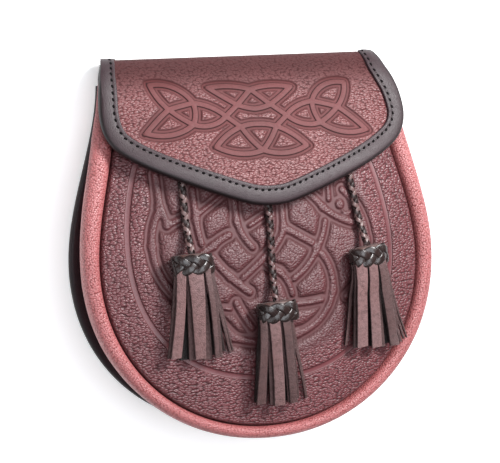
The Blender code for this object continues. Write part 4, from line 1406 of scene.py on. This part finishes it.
def make_flap():
    f = FLAP
    bands = flap_bands()
    total = f.run[-1]
    s_side = even_points(np.stack([f.run, f.width(f.run)], 1), 1.6)
    right = [(w, s) for s, w in s_side if w > 0.8]
    top = [(x, total) for x in np.linspace(f.width(total), -f.width(total), 60)[1:-1]]
    loop = np.array([(0.0, 0.0)] + right + top + [(-w, s) for w, s in right[::-1]])
    fine = contours(bands, (-0.9, -0.30, -0.12, 0.14, 0.38, KNOT_CHANNEL / 2 + 0.2, KNOT_CHANNEL - 0.16,
                            KNOT_CHANNEL + 0.10, KNOT_CHANNEL + 0.8), 0.55)
    fine = thin_out(fine, 0.155)
    flat, tris, ring = fill_sheet(loop, fine, 1.6)
    h, grain, burnish_and_shade = flap_relief(flat, bands)
    x, s = flat[:, 0], flat[:, 1]
    grain = grain * ramp(s, 86.0, 74.0, 0.55, 1.0)
    # painted shade: the leather is painted darker towards the fold, and a little darker on the smooth bands and
    # channels, which the tool burnished
    shade = np.maximum(ramp(s, 56.0, 78.0, 0.0, 0.74), 0.16 * ramp(grain, 0.6, 0.1, 0.0, 1.0))
    outer = f.at(x, s) + f.normal(x, s) * h[:, None]
    verts = [tuple(p) for p in outer]
    faces = [tuple(t) for t in tris]
    back_flat, back_tris, back_ring = fill_sheet(loop, [], 5.0)
    bx, bs = back_flat[:, 0], back_flat[:, 1]
    back = f.at(bx, bs) - f.normal(bx, bs) * 1.8
    first = len(verts)
    verts += [tuple(p) for p in back]
    faces += [(first + c, first + b, first + a) for a, b, c in back_tris]
    n = len(loop)
    for j in range(n):
        a, b = ring[j], ring[(j + 1) % n]
        faces.append((b, a, first + back_ring[j], first + back_ring[(j + 1) % n]))
    grain = np.concatenate([grain, np.full(len(back), 0.1)])
    burnish_and_shade = np.concatenate([burnish_and_shade, np.zeros(len(back))])
    v = np.array(verts)
    t0 = np.array(faces[0])
    up = np.cross(v[t0[1]] - v[t0[0]], v[t0[2]] - v[t0[0]])
    if up @ f.normal(np.array(x[t0[0]]), np.array(s[t0[0]])) < 0:
        faces = [tuple(q)[::-1] for q in faces]
    return piece("flap_leather", verts, faces, M["flap"], replaces=["flap"],
                 smooth=0, values={"grain": grain, "burnish_and_shade": burnish_and_shade, "across": np.concatenate([x, bx]),
                                   "along": np.concatenate([s, bs]),
                                   "shade": np.concatenate([shade, np.zeros(len(bs))])})


def binding_path():
    """Points, normals and outward directions along the flap's bound edge."""
    f = FLAP
    y, z = f.rows[:, 0], f.rows[:, 1]
    fold = int(np.argmax(y))
    stop = next(k for k in range(fold, len(y)) if y[k] < BIND_FROM_Y and z[k] < 17)
    s_end = f.run[stop]
    s = np.concatenate([[0], np.linspace(0.25, s_end, 700)])
    w = f.width(s)
    right = np.stack([w, s], 1)
    both = np.vstack([(right * (-1, 1))[:0:-1], right])
    # rounds the point of the flap a little, as its binding does
    soft = both.copy()
    mid = len(right) - 1
    for _ in range(60):
        soft[mid - 25:mid + 26] = (soft[mid - 26:mid + 25] + soft[mid - 25:mid + 26] * 2
                                   + soft[mid - 24:mid + 27]) / 4
    xyz = f.at(soft[:, 0], soft[:, 1])
    run = np.concatenate([[0], np.cumsum(np.linalg.norm(np.diff(xyz, axis=0), axis=1))])
    at = np.linspace(0, run[-1], 300)
    x, s = np.interp(at, run, soft[:, 0]), np.interp(at, run, soft[:, 1])
    p, n = f.at(x, s), f.normal(x, s)
    tan = np.gradient(p, axis=0)
    tan /= np.linalg.norm(tan, axis=1)[:, None]
    side = np.cross(tan, n)
    side /= np.linalg.norm(side, axis=1)[:, None]
    middle = np.stack([np.zeros(len(p)), np.full(len(p), 70.0), p[:, 2]], 1)
    if np.sum(np.einsum("ij,ij->i", side, p - middle)) < 0:
        side = -side
    return x, s, p, n, side, at


def binding_point(x, s, p, n, side, o, h):
    """A point o outward from the flap's edge and h above its outer face."""
    if o >= 0:
        return p + side * o + n * h
    q = p + side * o
    # slide along the leather: the inner part follows the flap's own face
    span = np.linspace(-14.0, 14.0, 57)
    cand_s = np.clip(s + span, 0.0, FLAP.run[-1])
    cand = FLAP.at(np.full(57, q[0]), cand_s)
    k = int(np.argmin(((cand - q)[:, 1:] ** 2).sum(1)))
    lo, hi = max(k - 1, 0), min(k + 1, 56)
    fine = np.linspace(cand_s[lo], cand_s[hi], 9)
    cand = FLAP.at(np.full(9, q[0]), fine)
    j = int(np.argmin(((cand - q)[:, 1:] ** 2).sum(1)))
    near = cand[j]
    nn = FLAP.normal(np.array(q[0]), np.array(fine[j]))
    return near + nn * h


def make_flap_binding():
    x, s, p, n, side, at = binding_path()
    section = smooth_rows(FLAP_BIND, 2)
    rings, rim = [], []
    for k in range(len(p)):
        ring = []
        for o, h in section:
            if h > 0:
                h = h * float(ramp(s[k], 76.0, 90.0, 1.0, 0.62))
            if o < 0:
                o = o * float(ramp(s[k], 66.0, 88.0, 1.0, 0.62 if x[k] > 0 else 0.84))
            q = binding_point(x[k], s[k], p[k], n[k], side[k], min(o, 0.0), h)
            if o > 0:
                q = q + side[k] * o * float(ramp(s[k], 76.0, 90.0, 1.0, 0.6))
            ring.append(q)
        inner = []
        for o, h in section[::-1]:
            cx = min(o, 0.3)
            if cx < 0:
                cx = cx * float(ramp(s[k], 66.0, 88.0, 1.0, 0.62 if x[k] > 0 else 0.84))
            hh = (h - 1.1) if h > -0.9 else (h + 1.1)
            if o >= 0.3:
                hh = float(np.interp(h, (-3.0, 1.22), (-1.9, 0.12)))
            hh = max(min(hh, 0.42), -2.2)
            hh = hh * float(ramp(s[k], 76.0, 90.0, 1.0, 0.62)) if hh > 0 else hh
            q = binding_point(x[k], s[k], p[k], n[k], side[k], min(cx, 0.0), hh)
            if cx > 0:
                q = q + side[k] * cx
            inner.append(q)
        rings.append(ring + inner)
        edge = [0.7 if abs(o + 6.1) < 0.25 else float(np.clip((o + 0.2) / 1.2, 0, 0.8)) for o, h in section]
        rim += edge + [0.8] * len(inner)
    verts, faces, values = bodies([(rings, False, {"rim": np.array(rim), **laid_out(rings)})])
    obj = piece("flap_binding_leather", verts, faces, M["binding"],
                replaces=["flap_binding"], smooth=50, values=values)
    return obj, (x, s, p, n, side, at)


def stitch(a, b, up, width, height):
    """One stitch: a short thread that dips into the leather at both ends."""
    a, b, up = np.array(a, float), np.array(b, float), np.array(up, float)
    way = (b - a) / np.linalg.norm(b - a)
    across = np.cross(up, way)
    across /= np.linalg.norm(across)
    rings = []
    for t in np.linspace(0, 1, 7):
        lift = math.sin(math.pi * t) ** 0.6
        r = width / 2 * (0.55 + 0.45 * lift)
        mid = a + (b - a) * t + up * (height * (lift - 0.62))
        rings.append([mid + across * r * math.cos(g) + up * r * 0.8 * math.sin(g)
                      for g in np.linspace(0, 2 * math.pi, 8, endpoint=False)])
    return rings


def make_flap_stitching(path):
    x, s, p, n, side, at = path
    parts = []
    line, ups = [], []
    for k in range(len(p)):
        near = -6.1 * float(ramp(s[k], 66.0, 88.0, 1.0, 0.62 if x[k] > 0 else 0.84))
        line.append(binding_point(x[k], s[k], p[k], n[k], side[k], near,
                                  1.36 * float(ramp(s[k], 76.0, 90.0, 1.0, 0.62))))
        ups.append(n[k])
    line, ups = np.array(line), np.array(ups)
    run = np.concatenate([[0], np.cumsum(np.linalg.norm(np.diff(line, axis=0), axis=1))])
    count = int(run[-1] / STITCH_PITCH)
    for i in range(count):
        a0 = (i + 0.5) * STITCH_PITCH + 0.4
        mid = np.array([np.interp(a0, run, line[:, c]) for c in range(3)])
        u = np.array([np.interp(a0, run, ups[:, c]) for c in range(3)])
        u /= np.linalg.norm(u)
        if u[2] < 0.10:
            continue        # the row ends where the leather turns under
        ahead = np.array([np.interp(a0 + 0.8, run, line[:, c]) for c in range(3)])
        way = ahead - mid
        way /= np.linalg.norm(way)
        cross = np.cross(u, way)
        slant = way * 0.92 + cross * 0.30
        parts.append((stitch(mid - slant, mid + slant, u, 1.40, 0.20), False, {}))
    verts, faces, _ = bodies(parts)
    return piece("flap_stitching", verts, faces, M["thread"], smooth=60)


# =============================== body of the pouch ==================================
def make_gusset():
    pts, out = seam_path(230, GUSSET_TOP_Y)
    section = smooth_rows(GUSSET_WALL, 4)
    foot = BACK_Z + BACK_T + GAP
    inner = []
    rings = []
    tan = np.gradient(section[:, [0]], axis=0)
    for p, o in zip(pts, out):
        width, roll = bulge(p[0], p[1])
        wall = float(rim_z(p[1])) - foot
        prof = []
        for n, f, rise in section:
            n = n * width if n > 0 else n
            z = foot + f * wall + rise * (roll if f >= 0.999 and rise > 0 else 1.0)
            prof.append((n, z))
        prof = np.array(prof)
        t = np.gradient(prof, axis=0)
        t /= np.maximum(np.hypot(*t.T), 1e-6)[:, None]
        normal = np.stack([t[:, 1], -t[:, 0]], 1)
        back = prof - normal * 1.45
        tall = float(ramp(p[1], 72.0, GUSSET_TOP_Y, 0.0, 3.4))
        ring = [(p[0] + o[0] * a, p[1] + o[1] * a + tall * float(ramp(b, 5.0, 10.0, 0.0, 1.0)), b)
                for a, b in list(prof) + list(back[::-1])]
        rings.append(ring)
    verts, faces, values = bodies([(rings, False, laid_out(rings))])
    return piece("gusset_leather", verts, faces, M["gusset"], replaces=["gusset"],
                 smooth=60, values=values)


def make_back():
    pts, out = seam_path(180, BACK_TOP_Y)
    rim = pts + out * BACK_EDGE
    rim[0, 1] = rim[-1, 1] = BACK_TOP_Y
    flat, tris, ring = fill_sheet(rim, [], 4.0)
    top, low = BACK_Z + BACK_T, BACK_Z
    verts = [(x, y, top) for x, y in flat]
    faces = [tuple(t) for t in tris]
    n0 = len(verts)
    d = np.zeros(len(flat))
    verts += [(x, y, low) for x, y in flat]
    faces += [(n0 + c, n0 + b, n0 + a) for a, b, c in tris]
    n = len(rim)
    for j in range(n):
        a, b = ring[j], ring[(j + 1) % n]
        faces.append((b, a, n0 + a, n0 + b))
    faces = outward(verts, faces)
    return piece("back_leather", verts, faces, M["back"], replaces=["back_panel"],
                 smooth=30, values={"across": [v[0] for v in verts], "along": [v[1] for v in verts]})


def make_back_binding():
    pts, out = seam_path(230, BACK_TOP_Y)
    section = smooth_rows(BACK_BIND, 2)
    rings, rim = [], []
    for i, (p, o) in enumerate(zip(pts, out)):
        end = i in (0, len(pts) - 1)
        ring = []
        for n, z in section:
            y = BACK_TOP_Y if end else p[1] + o[1] * n
            ring.append((p[0] + o[0] * n, y, z))
        inner = []
        for n, z in section[::-1]:
            cx = min(n, 4.75)
            zz = z - 1.1 if z > 2.5 else z + 1.1
            zz = min(max(zz, 1.15), 3.85)
            y = BACK_TOP_Y if end else p[1] + o[1] * cx
            inner.append((p[0] + o[0] * cx, y, zz))
        rings.append(ring + inner)
        rim += [float(np.clip((n - 4.6) / 1.6, 0, 0.5)) for n, z in section] + [0.6] * len(inner)
    verts, faces, values = bodies([(rings, False, {"rim": np.array(rim), **laid_out(rings)})])
    obj = piece("back_binding_leather", verts, faces, M["binding"],
                replaces=["back_binding"], smooth=50, values=values)
    # lock stitch along the back, sunk in its groove
    parts = []
    line = pts + out * 0.3
    run = np.concatenate([[0], np.cumsum(np.hypot(*np.diff(line, axis=0).T))])
    for i in range(int(run[-1] / STITCH_PITCH)):
        a0, a1 = (i + 0.14) * STITCH_PITCH, (i + 0.86) * STITCH_PITCH
        a = [np.interp(a0, run, line[:, c]) for c in (0, 1)] + [0.50]
        b = [np.interp(a1, run, line[:, c]) for c in (0, 1)] + [0.50]
        parts.append((stitch(a, b, (0, 0, -1), 0.75, 0.14), False, {}))
    verts, faces, _ = bodies(parts)
    piece("back_stitching", verts, faces, M["thread"], smooth=60)
    return obj


def make_loop(name, x):
    """Belt loop: a soft-edged strap sewn down at both ends."""
    y0, y1, w = LOOP_Y0, LOOP_Y1, LOOP_W / 2
    rings, rims = [], []
    for y in np.concatenate([[y0], np.linspace(y0 + 0.25, y1 - 0.25, 60), [y1]]):
        near = min(y - y0, y1 - y)
        half = w - (3.0 - math.sqrt(max(0.0, 9.0 - (3.0 - min(near, 3.0)) ** 2)))
        lift = 0.10 * math.sin(math.pi * (y - y0) / (y1 - y0))
        crease = 0.10 * math.exp(-((near - 9.0) / 1.0) ** 2)
        ring, rim = [], []
        for a in range(28):
            ang = 2 * math.pi * a / 28
            c, e = math.cos(ang), math.sin(ang)
            c = math.copysign(abs(c) ** 0.22, c)
            e = math.copysign(abs(e) ** 0.5, e)
            z = LOOP_T / 2 + e * (LOOP_T / 2 - 0.02)
            if e < 0:
                z = max(z, 0.14 + crease)
            ring.append((x + half * c, y, z))
            rim.append(float(np.clip((abs(c) - 0.93) * 12, 0, 0.7)))
        rings.append(ring)
        rims += rim
    verts, faces, values = bodies([(rings, False, {"rim": np.array(rims), **laid_out(rings)})])
    strap = piece(name + "_strap", verts, faces, M["binding"], replaces=[name], smooth=40, values=values)
    parts = []
    for lo, hi in ((y0 + 1.8, y0 + 8.0), (y1 - 8.0, y1 - 1.8)):
        inset = w - 2.4
        box = np.array([(x - inset, lo), (x + inset, lo), (x + inset, hi), (x - inset, hi), (x - inset, lo)])
        run = np.concatenate([[0], np.cumsum(np.hypot(*np.diff(box, axis=0).T))])
        count = int(run[-1] / 3.0)
        for i in range(count):
            a0, a1 = (i + 0.12) * run[-1] / count, (i + 0.84) * run[-1] / count
            a = [np.interp(a0, run, box[:, c]) for c in (0, 1)] + [0.34]
            b = [np.interp(a1, run, box[:, c]) for c in (0, 1)] + [0.34]
            parts.append((stitch(a, b, (0, 0, -1), 0.7, 0.12), False, {}))
    verts, faces, _ = bodies(parts)
    piece(name + "_stitching", verts, faces, M["thread"], smooth=60)
    return strap


# =============================== light and floor ====================================
def make_floor():
    verts, faces = [], []
    n, size = 24, 1400.0
    for i in range(n + 1):
        for j in range(n + 1):
            verts.append(((i / n - 0.5) * 2 * size, (j / n - 0.5) * 2 * size, -0.02))
    for i in range(n):
        for j in range(n):
            a = i * (n + 1) + j
            faces.append((a, a + n + 1, a + n + 2, a + 1))
    mesh = bpy.data.meshes.new("floor")
    mesh.from_pydata([tuple(Vector(v) * MM) for v in verts], [], faces)
    mesh.materials.append(M["floor"])
    obj = bpy.data.objects.new("floor", mesh)
    bpy.context.scene.collection.objects.link(obj)


def area_light(name, where, size, power, colour=(1.0, 1.0, 1.0), aim=(0.0, 0.0, 0.03)):
    data = bpy.data.lights.new(name, "AREA")
    data.shape, data.size, data.size_y = "RECTANGLE", size[0], size[1]
    data.energy, data.color = power, colour
    obj = bpy.data.objects.new(name, data)
    bpy.context.scene.collection.objects.link(obj)
    obj.location = where
    obj.rotation_euler = (Vector(aim) - Vector(where)).to_track_quat("-Z", "Y").to_euler()


def make_light():
    scene = bpy.context.scene
    scene.view_settings.view_transform = "Standard"
    scene.view_settings.look = "None"
    world = bpy.data.worlds.new("world")
    scene.world = world
    world.use_nodes = True
    back = world.node_tree.nodes["Background"]
    back.inputs["Color"].default_value = (0.97, 0.98, 1.0, 1.0)
    back.inputs["Strength"].default_value = 0.11
    area_light("key", (0.54, 0.68, 0.82), (0.36, 0.34), 23.5)
    area_light("front", (0.0, 0.12, 1.65), (1.2, 0.8), 17.5, (0.89, 0.95, 1.0))
    area_light("fill", (-0.95, -0.10, 0.95), (0.7, 0.7), 3.2, (0.93, 0.96, 1.0))


# =============================== assembly ===========================================
make_camera()
make_light()
make_floor()

for seed, (who, cx0, cy0, kx, ky, fx, fy, fh) in enumerate(TASSELS):
    braid, line, long = make_cord("braid_" + who, who, cx0, cy0, kx, ky, (fx, fy))
    plait, core = make_knot("plait_" + who, "knot_" + who, kx, ky, (fx, fy))
    strips = make_tassel("strips_" + who, who, kx, ky, fx, fy, 11 + seed)
make_front_panel()
make_flap()
BOUND = make_flap_binding()
make_flap_stitching(BOUND[1])
make_gusset()
make_back()
make_back_binding()
make_loop("belt_loop_left", -LOOP_X)
make_loop("belt_loop_right", LOOP_X)
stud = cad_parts["press_stud"]
for slot in stud.material_slots:
    slot.material = M["metal"]
